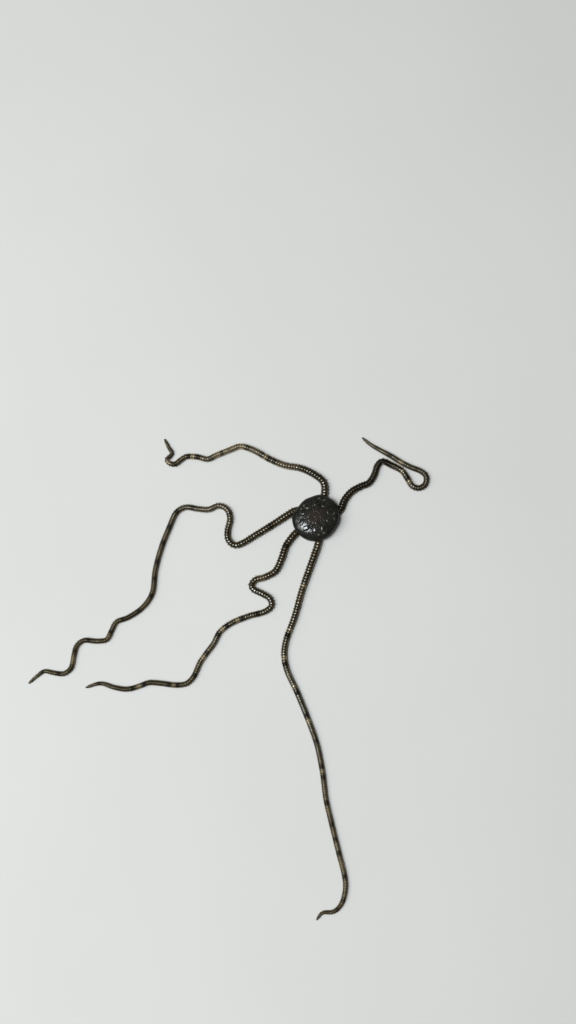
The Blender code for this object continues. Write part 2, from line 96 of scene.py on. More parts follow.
# Where each arm lies, in millimetres from the middle of the disc, mouth to tip
ROUTES = {
    "top": [
        (0.5, 1.4), (0.9, 2.3), (1.2, 3.4), (1.0, 4.7), (-0.2, 5.7), (-1.9, 6.5), (-4.0, 6.9),
        (-5.9, 7.7), (-7.8, 8.8), (-9.6, 9.4), (-11.1, 8.9), (-12.8, 8.2), (-13.9, 7.7),
        (-15.2, 8.0), (-16.6, 8.05), (-17.4, 7.55), (-18.1, 7.05), (-18.85, 7.2), (-19.1, 7.7),
        (-18.5, 8.45), (-18.95, 9.3), (-19.5, 10.4),
    ],
    "left": [
        (-1.25, 0.85), (-2.3, 1.05), (-3.6, 0.35), (-5.5, -0.9), (-7.6, -2.2), (-9.2, -3.2),
        (-10.3, -3.5), (-11.1, -2.8), (-11.2, -1.6), (-10.9, -0.1), (-11.3, 1.1), (-12.4, 1.6),
        (-13.7, 1.1), (-15.1, 1.2), (-16.6, 1.4), (-17.8, 0.7), (-18.6, -1.1), (-19.6, -3.8),
        (-20.3, -6.7), (-20.6, -9.5), (-21.7, -11.3), (-23.5, -12.6), (-25.0, -13.2),
        (-25.6, -14.3), (-26.2, -15.4), (-27.5, -15.6), (-29.0, -15.5), (-29.9, -16.2),
        (-30.2, -17.4), (-30.5, -18.9), (-31.4, -19.6), (-32.7, -19.5), (-33.8, -19.3),
        (-34.7, -19.9), (-35.7, -20.8),
    ],
    "lower_left": [
        (-1.2, -0.9), (-2.1, -1.6), (-2.95, -2.45), (-3.8, -3.7), (-4.3, -5.2), (-5.1, -6.8),
        (-6.5, -7.6), (-7.6, -7.9), (-8.1, -8.6), (-7.75, -9.2), (-6.7, -9.7), (-5.8, -10.3),
        (-5.6, -11.2), (-6.5, -11.95), (-8.5, -12.5), (-10.5, -13.3), (-12.0, -14.4),
        (-12.8, -15.9), (-13.7, -17.1), (-14.5, -18.3), (-15.2, -19.9), (-16.1, -20.8),
        (-17.5, -21.0), (-19.2, -20.8), (-20.7, -20.7), (-21.9, -21.1), (-23.4, -21.5),
        (-25.0, -21.3), (-26.8, -20.8), (-28.6, -21.3),
    ],
    "bottom": [
        (0.45, -1.45), (0.5, -2.4), (0.2, -3.75), (-0.75, -6.4), (-1.7, -9.1), (-2.7, -12.6),
        (-3.7, -15.3), (-4.0, -17.3), (-3.6, -19.3), (-2.4, -21.9), (-1.2, -24.8), (0.0, -28.1),
        (0.7, -31.5), (1.1, -34.7), (1.8, -37.7), (2.6, -40.95), (3.25, -43.5), (3.35, -45.1),
        (2.9, -46.7), (1.95, -47.65), (0.6, -47.8), (-0.1, -48.6),
    ],
    "right": [
        (1.5, 0.05), (2.4, 0.35), (3.25, 1.2), (3.7, 2.3), (4.6, 3.4), (5.8, 4.1), (6.9, 4.6),
        (7.6, 5.7), (8.0, 6.85), (8.7, 7.4), (9.8, 6.9), (11.1, 6.2), (11.8, 5.2), (12.4, 4.2),
        (13.3, 3.9), (14.1, 4.4), (14.25, 5.4), (13.6, 6.1), (12.4, 6.6), (11.2, 7.2),
        (9.8, 8.1), (8.4, 8.9), (7.1, 9.7), (6.1, 10.6),
    ],
}

# Markings across each arm, one of them partly painted shade: for a half-width in millimetres and a
# tone, from -1 for dark to 1 for pale, the places along its route in millimetres
MARKS = {
    "top": {
        (0.26, -0.95): (21.2, 22.4), (0.3, -0.7): (24.5, 26.2), (0.24, -0.6): (12.3, 17.9),
        (0.25, -0.85): (11.2,), (0.25, -0.6): (10.4,), (0.3, -0.6): (14.3,), (0.3, -0.5): (19.4,),
        (2.0, -0.4): (4.6,), (0.9, 0.2): (16.8,), (1.4, 0.3): (8.6,), (5.5, 0.36): (16.0,),
        (0.3, 0.7): (25.3,), (0.22, 0.75): (11.65,), (0.3, 0.8): (15.15,), (0.28, 0.8): (21.8,),
        (0.24, 0.9): (18.35,),
    },
    "left": {
        (0.27, -1.0): (22.3, 24.5, 26.7, 29.2, 33.6, 36.0, 38.2),
        (0.26, -0.95): (5.1, 31.4, 43.9, 50.2, 52.3), (0.25, -0.85): (14.8, 20.1, 40.5, 46.3),
        (0.6, 0.1): (25.6, 30.3, 32.5, 34.8), (0.6, 0.08): (21.2, 23.4), (0.24, -0.6): (12.4,),
        (0.8, -0.3): (37.1,), (0.7, 0.12): (28.0,), (3.5, 0.16): (16.5,), (0.4, 0.3): (41.2,),
        (0.5, 0.55): (47.4,),
    },
    "lower_left": {
        (0.27, -1.0): (18.9, 21.0, 22.6, 30.9, 32.0, 35.1, 36.6),
        (0.26, -0.95): (3.7, 16.9, 25.2, 28.4, 40.9), (0.24, -0.6): (10.7,), (0.24, -0.5): (7.0,),
        (2.0, -0.3): (3.4,), (4.5, 0.12): (25.5,), (0.5, 0.3): (9.2,), (0.22, 0.7): (31.4,),
        (0.25, 0.75): (19.5,), (0.26, 0.75): (35.8,), (0.26, 0.8): (25.9,), (0.26, 0.85): (21.75,),
    },
    "bottom": {
        (0.27, -1.0): (14.1, 17.65, 21.5, 24.4, 27.8, 30.9, 32.2, 35.2, 39.6, 41.2, 44.0),
        (0.26, -0.95): (37.8,), (0.25, -0.8): (48.0,), (0.3, -0.7): (46.7,), (4.0, 0.12): (43.0,),
        (10.0, 0.15): (36.0,), (0.8, 0.15): (8.9,), (0.8, 0.2): (19.1,), (0.4, 0.3): (36.2,),
        (0.5, 0.3): (42.6,), (0.24, 0.6): (7.6,), (0.2, 0.6): (13.35,), (0.3, 0.6): (20.6,),
        (0.22, 0.6): (31.4,), (0.28, 0.7): (25.2,), (0.26, 0.8): (16.9,),
    },
    "right": {
        # The right arm's wide dark mark at 6 mm is partly its own darker colour and partly painted
        # shade
        (7.0, -0.85): (6.0,), (0.25, -0.85): (14.8,), (0.4, -0.7): (24.5,), (0.24, -0.6): (20.6,),
        (0.24, -0.5): (26.5,), (0.7, -0.4): (11.3,), (0.8, -0.4): (17.0,), (0.6, -0.4): (18.9,),
        (0.8, 0.15): (4.5,), (0.7, 0.2): (8.7,), (0.26, 0.6): (13.7,), (0.3, 0.6): (22.7,),
        (0.26, 0.7): (15.3,),
    },
}

# Where the camera stands and how the photograph's frame falls
CAMERA_PLACE = (0.007201, -0.002296, 0.125495)
CAMERA_TILT = 10
CAMERA_LENS = 35
CAMERA_SENSOR = 36

SEED = 11


# Settings

def length(name, description, default):
    """A length that a user may change, in metres."""
    return FloatProperty(name=name, description=description, default=default, min=0.0,
                         precision=5, unit="LENGTH")


def share(name, description, default):
    """A share of something else, without a unit."""
    return FloatProperty(name=name, description=description, default=default, min=0.0,
                         soft_max=1.0, subtype="FACTOR")


def colour(name, description, default):
    """A linear red, green and blue colour."""
    return FloatVectorProperty(name=name, description=description, default=default, size=3,
                               min=0.0, max=1.0, subtype="COLOR")


def brightness(name, description, default):
    """A light's radiance, in watts to the square metre and steradian."""
    return FloatProperty(name=name, description=description, default=default, min=0.0)


class ArmSettings(bpy.types.PropertyGroup):
    """Sizes and colours of the arms' segments, plates and spines."""

    segment_near: length("Segment at disc", "Length of an arm segment at the disc", 0.40 * MM)
    segment_far: length("Segment far out", "Length of an arm segment past the middle", 0.32 * MM)
    plate_depth: share("Plate depth", "How deep the skin lies, in half-widths", 0.11)
    plate_dome: share("Plate dome", "How high a plate domes, in half-widths", 0.09)
    spines: IntProperty(name="Spines a side", description="Spines on each side of a segment",
                        default=3, min=0, max=5)
    spine_length: length("Spine length", "Length of a spine where the arm is widest", 0.28 * MM)
    spine_radius: length("Spine radius", "Radius of a spine at its root", 0.042 * MM)
    plain: colour("Plates", "Colour of the plates between the bands", (0.046, 0.0315, 0.0085))
    far: colour("Plates far out", "Colour of the plates towards the tips", (0.066, 0.047, 0.0130))
    under: colour("Lower plates", "Colour of the plates under the arms", (0.17, 0.135, 0.088))
    pale: colour("Pale bands", "Colour of the pale bands", (0.34, 0.255, 0.14))
    dark: colour("Dark bands", "Colour of the dark bands", (0.008, 0.0055, 0.0024))
    spine: colour("Spines", "Colour of the spines", (0.066, 0.048, 0.020))


class DiscSettings(bpy.types.PropertyGroup):
    """Sizes and colours of the disc's scales and shields."""

    scale_length: length("Scale length", "Length of a disc scale from its root", 0.25 * MM)
    scale_width: length("Scale width", "Width of a disc scale", 0.26 * MM)
    scale_rise: length("Scale rise", "How high a scale's free edge stands", 0.013 * MM)
    shield_length: length("Shield length", "Length of a radial shield", 1.18 * MM)
    shield_width: length("Shield width", "Width of a radial shield", 0.70 * MM)
    shield_rise: length("Shield rise", "How high a radial shield domes", 0.045 * MM)
    plain: colour("Scales", "Colour of the scales", (0.0095, 0.0092, 0.0066))
    middle: colour("Middle", "Colour of the disc's middle", (0.026, 0.017, 0.012))
    # The shield tips' colour, also used for the painted highlight along the shields' rims
    rim: colour("Shield tips", "Colour of the radial shields' outer tips", (0.17, 0.155, 0.13))


class MouthSettings(bpy.types.PropertyGroup):
    """Sizes and colour of the mouth's parts."""

    jaw_length: length("Jaw length", "Length of a jaw from its root to its tip", 0.92 * MM)
    jaw_width: length("Jaw width", "Width of a jaw at its root", 1.04 * MM)
    bone: colour("Mouth parts", "Colour of the jaws and mouth shields", (0.13, 0.105, 0.07))


class StageSettings(bpy.types.PropertyGroup):
    """The floor and lights."""

    floor_size: length("Floor size", "Side of the square floor", 1.6)
    floor: colour("Floor", "Colour of the floor", (0.56, 0.545, 0.52))
    key: brightness("Key light", "Radiance of the window light", 24.0)
    side: brightness("Side light", "Radiance of the low light on the left", 8.0)
    fill: brightness("Fill light", "Radiance of the broad soft light", 0.8)
    sky: brightness("Surroundings", "Radiance of the room all round", 0.06)


# Curves and forms

def smooth_route(points):
    """A Catmull-Rom curve through the route's points, in metres, as an array of places."""
    knots = np.array(points, dtype=float) * MM
    knots = np.vstack([2 * knots[0] - knots[1], knots, 2 * knots[-1] - knots[-2]])
    before, start, end, after = [knots[i:len(knots) - 3 + i, None] for i in range(4)]
    step = np.linspace(0.0, 1.0, CURVE_STEPS, endpoint=False)[:, None]
    curve = 0.5 * (2 * start + (end - before) * step
                   + (2 * before - 5 * start + 4 * end - after) * step ** 2
                   + (3 * start - before - 3 * end + after) * step ** 3)
    return np.vstack([curve.reshape(-1, 2), knots[-2:-1]])


def frame_shift():
    """From the disc's middle to the model's origin, which lies under the routes' middle."""
    places = np.vstack([smooth_route(points) for points in ROUTES.values()])
    return -(places.min(axis=0) + places.max(axis=0)) / 2


DISC_PLACE = frame_shift()


class Arm:
    """An arm's middle line, widths, segments and bands, read by the distance from its mouth end."""

    def __init__(self, name, number, settings):
        self.name = name
        self.number = number
        self.places = smooth_route(ROUTES[name]) + DISC_PLACE
        steps = np.linalg.norm(np.diff(self.places, axis=0), axis=1)
        self.distances = np.concatenate([[0.0], np.cumsum(steps)])
        self.length = float(self.distances[-1])
        self.joints = self.segment_ends(settings)

    def segment_ends(self, settings):
        """Where the segments meet: their length falls to the far value by two fifths of the way
        out and shrinks again towards the tip."""
        ease = np.clip(self.distances / (SEGMENT_EASE * self.length), 0.0, 1.0)
        pitch = settings.segment_near + (settings.segment_far - settings.segment_near) * ease
        pitch *= SEGMENT_TIP + (1 - SEGMENT_TIP) * self.run_out(self.distances)
        density = 1 / pitch
        counts = np.concatenate([[0.0], np.cumsum(np.diff(self.distances)
                                                  * (density[1:] + density[:-1]) / 2)])
        total = round(counts[-1])
        return np.interp(np.arange(total + 1) * counts[-1] / total, counts, self.distances)

    def run_out(self, distance):
        """From 1 along the arm to 0 at its tip, as the square root of the way left."""
        return np.sqrt(np.clip((self.length - distance) / ARM_RUN_OUT, 0.0, 1.0))

    def half_width(self, distance):
        """Half the arm's width: swelling out of the disc, then a taper that eases to the far
        width, and a run-out to the tip."""
        extra = (ARM_HALF_WIDTH - ARM_HALF_WIDTH_FAR) * np.exp(-distance / ARM_TAPER)
        swell = np.clip(distance / ARM_SWELL, 0.0, 1.0)
        root = ARM_HALF_WIDTH_MOUTH + (ARM_HALF_WIDTH_FAR + extra - ARM_HALF_WIDTH_MOUTH) * swell
        return ARM_TIP + (root - ARM_TIP) * self.run_out(distance)

    def at(self, distance):
        """Places on the middle line, and the level directions along it and to its left."""
        flat = np.zeros_like(distance)
        middle, before, after = [
            np.stack([*(np.interp(distance + step, self.distances, self.places[:, i])
                        for i in (0, 1)), flat], -1) for step in (0.0, -SLOPE_STEP, SLOPE_STEP)]
        ahead = after - before
        ahead /= np.hypot(ahead[..., 0], ahead[..., 1])[..., None]
        return middle, ahead, np.stack([-ahead[..., 1], ahead[..., 0], flat], -1)

    def bend(self, distance):
        """How sharply the arm turns to its left, as one over the bend's radius."""
        before, after = [self.at(distance + step)[1] for step in (-BEND_STEP, BEND_STEP)]
        turn = np.arctan2(before[..., 0] * after[..., 1] - before[..., 1] * after[..., 0],
                          (before * after).sum(-1))
        return turn / (2 * BEND_STEP)

    def tone(self, distance):
        """From -1 where it is dark to 1 where it is pale: each mark fades at its edges, as one
        over e to the fourth power of the way out."""
        place, half, tone = np.array([(place, *kind) for kind, places in MARKS[self.name].items()
                                      for place in places]).T
        away = (distance[..., None] / MM - place) / half
        return np.clip((tone * np.exp(-away ** 4)).sum(-1), -1.0, 1.0)


def rounded(value, power):
    """A value's size to a power, with its sign, which makes a super-ellipse of a circle."""
    return np.sign(value) * np.abs(value) ** power


def section(turn):
    """The arm's cross-section in half-widths at a turn from its left side over its top: a
    super-ellipse, cut flat below."""
    up = np.sin(turn)
    height = np.where(up > 0, SECTION_OVER, SECTION_UNDER)
    return (SECTION_WIDE * rounded(np.cos(turn), SECTION_POWER),
            np.maximum(SECTION_MIDDLE + rounded(up, SECTION_POWER) * height, 0.0))


def section_normal(turn):
    """The outward direction of the uncut cross-section, from its slope."""
    x, z = [rounded(f(turn + TURN_STEP), SECTION_POWER) - rounded(f(turn - TURN_STEP), SECTION_POWER)
            for f in (np.cos, np.sin)]
    z = z * SECTION_MIDDLE
    size = np.hypot(x, z)
    return z / size, -x / size


def arm_surface(arm, distance, turn, lift):
    """Points on an arm: its middle line, plus the section and a lift along its normal, both in
    half-widths, never below the floor."""
    middle, _, left = arm.at(distance)
    half_width = arm.half_width(distance)
    x, z = section(turn)
    out, up = section_normal(turn)
    points = middle + left * (half_width * (x + out * lift))[..., None]
    points[..., 2] = np.maximum(half_width * (z + up * lift), 0.0)
    return points


def make_arms(settings):
    """The five arms, each with the longest one's length, which the OFBake map needs."""
    arms = [Arm(name, number, settings) for number, name in enumerate(ROUTES)]
    for arm in arms:
        arm.longest = max(other.length for other in arms)
    return arms


def disc_knots():
    """Bearings round the disc in degrees, at the arms and half-way between, and the disc's radius
    there, with the first again at the end."""
    arms = np.array([*ARM_ANGLES.values(), ARM_ANGLES["right"] + 360])
    bearings = np.stack([arms[:-1], (arms[:-1] + arms[1:]) / 2], -1).ravel()
    reaches = np.array([DISC_REACHES[arm] for arm in ARM_ANGLES]).ravel() * MM
    return np.append(bearings, arms[-1]), np.append(reaches, reaches[0])


KNOT_BEARINGS, KNOT_REACHES = disc_knots()
ARM_BEARINGS = np.radians(KNOT_BEARINGS[:-1:2])
BETWEEN_ARMS = np.radians(KNOT_BEARINGS[1::2])


def disc_reach(angle):
    """The disc's radius at a bearing in radians, easing from each knot to the next."""
    turned = (np.degrees(angle) - KNOT_BEARINGS[0]) % 360
    place = np.interp(turned, KNOT_BEARINGS - KNOT_BEARINGS[0], np.arange(len(KNOT_BEARINGS)))
    before = place.astype(int) % (len(KNOT_BEARINGS) - 1)
    ease = (1 - np.cos(math.pi * (place % 1))) / 2
    return KNOT_REACHES[before] + (KNOT_REACHES[before + 1] - KNOT_REACHES[before]) * ease


def disc_meridian():
    """The disc's outline from the middle of its top over the rim to its flat underside: distance
    along it, share of the radius, and height. Both halves are super-ellipses."""
    rise = np.linspace(math.pi / 2, 0.0, MERIDIAN_STEPS)
    over = np.stack([np.cos(rise) ** DISC_POWER,
                     DISC_WAIST + (DISC_HEIGHT - DISC_WAIST) * np.sin(rise) ** DISC_POWER], -1)
    fall = np.linspace(0.0, math.pi / 2, MERIDIAN_STEPS)[1:]
    under = np.stack([np.cos(fall) ** DISC_POWER,
                      DISC_WAIST - DISC_WAIST * DISC_BELLY * np.sin(fall) ** DISC_POWER], -1)
    under[:, 1] = np.maximum(under[:, 1], 0.0)
    outline = np.vstack([over, under])
    steps = np.hypot(np.diff(outline[:, 0]) * MEAN_REACH, np.diff(outline[:, 1]))
    return np.concatenate([[0.0], np.cumsum(steps)]), outline[:, 0], outline[:, 1]


MERIDIAN = disc_meridian()
RIM_DISTANCE = float(MERIDIAN[0][MERIDIAN_STEPS - 1])


def disc_point(distance, angle):
    """Points on the disc at distances along its outline and bearings."""
    along, shares, heights = MERIDIAN
    out = np.interp(distance, along, shares) * disc_reach(angle)
    return np.stack([DISC_PLACE[0] + out * np.cos(angle), DISC_PLACE[1] + out * np.sin(angle),
                     np.interp(distance, along, heights)], -1)


def disc_surface(distance, angle, lift):
    """Points on the disc, raised by the lift along its outward normal, never below the floor."""
    step, turn = 0.03 * MM, 0.01
    down = disc_point(distance + step, angle) - disc_point(distance - step, angle)
    sideways = disc_point(distance, angle + turn) - disc_point(distance, angle - turn)
    normal = np.cross(down, sideways)
    normal /= np.linalg.norm(normal, axis=-1, keepdims=True) + 1e-12
    points = disc_point(distance, angle) + normal * np.asarray(lift)[..., None]
    points[..., 2] = np.maximum(points[..., 2], 0.0)
    return points


# Meshes

def capped_faces(rings, around):
    """A closed form's faces: quads between its rings of points, and triangles that fan from the
    first point and from the last."""
    starts = 1 + around * np.arange(rings)[:, None]
    step = starts + np.arange(around)
    following = starts + np.roll(np.arange(around), -1)
    quads = np.stack([step[:-1], following[:-1], following[1:], step[1:]], -1).reshape(-1, 4)
    ends = np.zeros(around, int), np.full(around, rings * around + 1)
    return quads, np.vstack([np.stack([ends[0], following[0], step[0]], -1),
                             np.stack([ends[1], step[-1], following[-1]], -1)])


def add_object(name, data):
    """An object of this data in the scene."""
    thing = bpy.data.objects.new(name, data)
    bpy.context.scene.collection.objects.link(thing)
    return thing


def signed_volume(points, quads, triangles):
    """Six times the volume inside the faces: below nothing where they are inside out."""
    corners = np.vstack([triangles, quads[:, [0, 1, 2]], quads[:, [0, 2, 3]]])
    centred = points - points.mean(axis=0)
    return float(np.linalg.det(centred[corners]).sum())


def make_piece(name, points, quads, triangles, material, values):
    """A mesh object at the origin from arrays of points and faces, turned to face outwards, with
    a named number at each point for each of the values."""
    if signed_volume(points, quads, triangles) < 0:
        quads, triangles = quads[:, ::-1], triangles[:, ::-1]
    mesh = bpy.data.meshes.new(name)
    mesh.vertices.add(len(points))
    mesh.vertices.foreach_set("co", points.astype(np.float32).ravel())
    corners = np.concatenate([quads.ravel(), triangles.ravel()]).astype(np.int32)
    starts = np.concatenate([np.arange(len(quads)) * 4,
                             len(quads) * 4 + np.arange(len(triangles)) * 3]).astype(np.int32)
    mesh.loops.add(len(corners))
    mesh.loops.foreach_set("vertex_index", corners)
    mesh.polygons.add(len(starts))
    mesh.polygons.foreach_set("loop_start", starts)
    mesh.update(calc_edges=True)
    mesh.shade_smooth()
    for key, numbers in values.items():
        layer = mesh.attributes.new(key, "FLOAT", "POINT")
        layer.data.foreach_set("value", np.asarray(numbers, np.float32).ravel())
    mesh.materials.append(material)
    piece = add_object(name, mesh)
    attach(piece, "root")
    return piece


class Batch:
    """Many like closed forms, collected part by part and then made into one piece."""

    def __init__(self, rings, around):
        self.faces = capped_faces(rings, around)
        self.points, self.values, self.places = [], [], []

    def add(self, points, places, **values):
        """points: forms x points x 3, places: their places on the OFBake map, and values: numbers
        for each point, form or all of them."""
        self.points.append(points)
        self.places.append(places)
        self.values.append({key: np.broadcast_to(v, points.shape[:2]) for key, v in values.items()})

    def make(self, name, material):
        """The piece, with the places as a UV map named OFBake."""
        points = np.concatenate(self.points)
        starts = np.arange(len(points))[:, None, None] * points.shape[1]
        quads, triangles = [(faces + starts).reshape(-1, faces.shape[1]) for faces in self.faces]
        values = {key: np.concatenate([v[key] for v in self.values]) for key in self.values[0]}
        piece = make_piece(name, points.reshape(-1, 3), quads, triangles, material, values)
        corners = np.empty(len(piece.data.loops), np.int32)
        piece.data.loops.foreach_get("vertex_index", corners)
        places = np.concatenate(self.places).reshape(-1, 2)[corners]
        layer = piece.data.uv_layers.new(name="OFBake")
        layer.data.foreach_set("uv", places.astype(np.float32).ravel())
        return piece


# On the OFBake map: the margin, and half the side of a form's own patch
BAKE_MARGIN = 0.02
BAKE_PATCH = 0.0015

PLATE_AROUND = 12

# A plate's rings: share of its radius, then of its dome's height, or below 0 of its depth
PLATE_RINGS = ((0.40, 0.86), (0.74, 0.50), (0.93, 0.12), (1.0, -1.0))


def capped_grid(rows, around):
    """Row numbers and turns of a closed form's points: one first, the rows, and one last."""
    row = np.concatenate([[0], np.repeat(np.arange(1, rows + 1), around), [rows + 1]])
    return row, np.concatenate([[0.0], np.tile(np.arange(around) * math.tau / around, rows), [0.0]])


def plate_template(around=PLATE_AROUND, rings=PLATE_RINGS):
    """A domed round plate: shares along and across, dome and depth shares, and nearness to the
    rim, from its top's middle over the rings to the middle of its hidden underside."""
    row, turns = capped_grid(len(rings), around)
    radius, height = np.array([(0.0, 1.0), *rings, (0.0, -1.0)])[row].T
    along, across = radius * np.cos(turns), radius * np.sin(turns)
    return along, across, np.maximum(height, 0.0), np.maximum(-height, 0.0), radius


def bake_places_arm(arm, distance, turn, along, across):
    """Each form's patch on the arms' unwrap: distance one way, turn the other, an arm a row."""
    u = BAKE_MARGIN + (1 - 2 * BAKE_MARGIN) * distance / arm.longest
    v = (arm.number + 0.5 + 0.45 * np.sin(turn / 2 - math.pi / 4)) / len(ROUTES)
    return np.stack(np.broadcast_arrays(u + BAKE_PATCH * along, v + BAKE_PATCH * across), -1)


def bake_places_disc(distance, angle, along, across):
    """Each form's patch on the disc's unwrap, its top's middle at the map's."""
    out = (0.5 - BAKE_MARGIN) * distance / MERIDIAN[0][-1]
    return np.stack([0.5 + out * np.cos(angle) + BAKE_PATCH * along,
                     0.5 + out * np.sin(angle) + BAKE_PATCH * across], -1)


# Skin

# Rings of the arms' skin to a segment and points to a ring, and the disc's rows and points to one
SKIN_RINGS = 5
SKIN_AROUND = 22
DISC_ROWS = 84
DISC_AROUND = 200

# How much deeper the arms' skin lies at the joints, in half-widths, and how deep the disc's lies
SKIN_GROOVE = 0.06
SCALE_DEPTH = 0.03 * MM

# Underneath: the disc skin's height above the floor, the mouth's radius, and the skin's height
# there and over the arms
UNDERSIDE_LIFT = 0.035 * MM
MOUTH_RADIUS = 1.55 * MM
MOUTH_ROOF = 0.85 * MM
CHANNEL_ROOF = 0.42 * MM

# Where the underside's channels and mouth begin to close and are closed, in half-widths of an arm
# and in radii of the mouth
CHANNEL_EDGE = 1.0, 1.35
MOUTH_EDGE = 0.85, 1.1

# An arm's line goes on inside the disc, in four points between two shares of the way to its first
# point, and it is read no further than this from the disc's middle
INNER_LINE = 0.35, 0.95, 4
NEAR_DISC = 5 * MM


def arm_skin(arm, settings):
    """One arm's skin: rings of the section, a plate's depth inside it and deepest at each joint
    between segments, closed by a point at each end."""
    whole = np.arange(SKIN_RINGS * (len(arm.joints) - 1) + 1) / SKIN_RINGS
    distance = np.interp(whole, np.arange(len(arm.joints)), arm.joints)
    turn = np.arange(SKIN_AROUND) * math.tau / SKIN_AROUND
    near_joint = np.abs(np.cos(math.pi * whole)) ** 4
    lift = -(settings.plate_depth + SKIN_GROOVE * near_joint)
    points = arm_surface(arm, *np.broadcast_arrays(distance[:, None], turn, lift[:, None]))
    ends = points[[0, -1]].mean(axis=1)
    points = np.vstack([ends[:1], points.reshape(-1, 3), ends[1:]])
    tone = np.pad(np.repeat(arm.tone(distance), SKIN_AROUND), 1, "edge")
    return points, *capped_faces(len(distance), SKIN_AROUND), tone


def smooth_step(value, low, high):
    """From 0 at low to 1 at high: three times the square of the way less twice its cube."""
    part = np.clip((value - low) / (high - low), 0.0, 1.0)
    return part * part * (3 - 2 * part)


def distance_to_arms(points, arms):
    """How far each point lies from the nearest arm's middle line, in that arm's half-widths."""
    nearest = np.full(len(points), np.inf)
    for arm in arms:
        near = np.linalg.norm(arm.places - DISC_PLACE, axis=1) < NEAR_DISC
        inner = np.linspace(*INNER_LINE)[:, None] * (arm.places[0] - DISC_PLACE) + DISC_PLACE
        places = np.vstack([inner, arm.places[near]])
        widths = np.concatenate([np.full(len(inner), ARM_HALF_WIDTH_MOUTH),
                                 arm.half_width(arm.distances[near])])
        away = np.linalg.norm(points[:, None, :2] - places[None], axis=-1) / widths
        nearest = np.minimum(nearest, away.min(axis=1))
    return nearest


def disc_skin(arms):
    """The disc's skin: its outline turned round the middle, just inside the scales. Below, it
    rises over each arm and over the mouth."""
    distance = np.linspace(0.0, 1.0, DISC_ROWS + 2)[1:-1] * MERIDIAN[0][-1]
    angle = np.arange(DISC_AROUND) * math.tau / DISC_AROUND
    grid = np.broadcast_arrays(distance[:, None], angle, -SCALE_DEPTH)
    points = disc_surface(*grid).reshape(-1, 3)
    below = np.repeat(distance > RIM_DISTANCE, DISC_AROUND)
    channel = CHANNEL_ROOF * (1 - smooth_step(distance_to_arms(points, arms), *CHANNEL_EDGE))
    middle = np.linalg.norm(points[:, :2] - DISC_PLACE, axis=1)
    edge = [MOUTH_RADIUS * part for part in MOUTH_EDGE]
    mouth = MOUTH_ROOF * (1 - smooth_step(middle, *edge))
    floor = np.maximum(UNDERSIDE_LIFT, np.maximum(channel, mouth))
    points[below, 2] = np.maximum(points[below, 2], floor[below])
    top = disc_point(np.zeros(1), np.zeros(1)) - [[0.0, 0.0, SCALE_DEPTH]]
    points = np.vstack([top, points, [[*DISC_PLACE, MOUTH_ROOF]]])
    return points, *capped_faces(DISC_ROWS, DISC_AROUND), np.zeros(len(points))


def make_skin(context):
    """The disc's and arms' skin, one piece with no seam showing."""
    settings = context.scene.brittle_star_arms
    arms = make_arms(settings)
    points, quads, triangles, tones = zip(disc_skin(arms),
                                          *(arm_skin(arm, settings) for arm in arms))
    starts = np.cumsum([0, *map(len, points)])
    quads, triangles = [np.vstack([rows + start for rows, start in zip(faces, starts)])
                        for faces in (quads, triangles)]
    values = {"tone": np.concatenate(tones), "disc": np.arange(starts[-1]) < len(points[0])}
    piece = make_piece("skin", np.vstack(points), quads, triangles, skin_finish(context.scene),
                       values)
    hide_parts("disc", *[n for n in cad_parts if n.startswith("arm_")])


# Arm plates and spines

# How far the plates' sizes differ, how they widen outwards, and how far below the skin their
# hidden side lies, in half-widths
PLATE_JITTER = 0.06
PLATE_FLARE = 0.16
PLATE_SEAT = 0.05

# The film of water on the arms thins between two distances, and is thinner on dark bands and at
# the plates' rims; it differs from plate to plate
WET_NEAR = 18 * MM
WET_FAR = 34 * MM
WET_FAR_LOSS = 0.7
WET_DARK_LOSS = 0.95
WET_RIM_LOSS = 0.6
WET_LEAST = 0.4
WET_RANGE = 0.95

# Each kind of arm plate: how light its colour is, lower on the side plates as painted shade on the
# arms' flanks, and for each form of plate the turns round the arm where one sits, its half-width as
# a turn, its half-length and its shift outwards in half-segments, its dome as a share of the plate
# dome, and how much higher its outer edge stands, in half-widths
ARM_PLATES = {
    "upper": (1.0, ((math.pi / 2,), 0.88, 1.14, 0.06, 1.0, 0.025)),
    # The side plates' 0.9 is painted shade on the arms' flanks
    "side": (0.9, ((0.10, math.pi - 0.10), 0.98, 1.04, 0.10, 0.8, 0.05)),
    "lower": (1.0, ((-math.pi / 2,), 0.74, 1.0, 0.0, 0.4, 0.0),
              ((-math.pi / 2 - 0.82, -math.pi / 2 + 0.82), 0.20, 0.48, 0.35, 0.6, 0.04)),
}


def segment_middles(arm):
    """Where each segment's middle lies and half its length."""
    return (arm.joints[1:] + arm.joints[:-1]) / 2, np.diff(arm.joints) / 2


def add_arm_plates(batch, arm, settings, draws, turn, spread, reach, shift, dome, lean):
    """A plate on each segment of an arm at a turn round it, of the form that the kind gives."""
    along, across, height, depth, radius = plate_template()
    middle, half = [v[:, None] for v in segment_middles(arm)]
    size = 1 + PLATE_JITTER * draws.uniform(-1, 1, middle.shape)
    distance = np.clip(middle + shift * half + reach * half * along * size, 0.0, arm.length)
    turns = turn + spread * across * (1 + PLATE_FLARE * along) * size
    lift = (dome * settings.plate_dome * height + lean * along * (depth == 0)
            - (settings.plate_depth + PLATE_SEAT) * depth)
    tone = arm.tone(distance)
    tint = draws.uniform(0, 1, middle.shape)
    rim = np.maximum(radius ** 3, along ** 2)
    wet = 1 - WET_FAR_LOSS * smooth_step(distance, WET_NEAR, WET_FAR)
    wet *= ((1 + WET_DARK_LOSS * np.minimum(tone, 0.0)) * (WET_LEAST + WET_RANGE * tint)
            * (1 - WET_RIM_LOSS * rim))
    batch.add(arm_surface(arm, distance, turns, lift),
              bake_places_arm(arm, middle, turn, along, across),
              tone=tone, tint=tint, rim=rim, far=middle / arm.length, wet=wet)


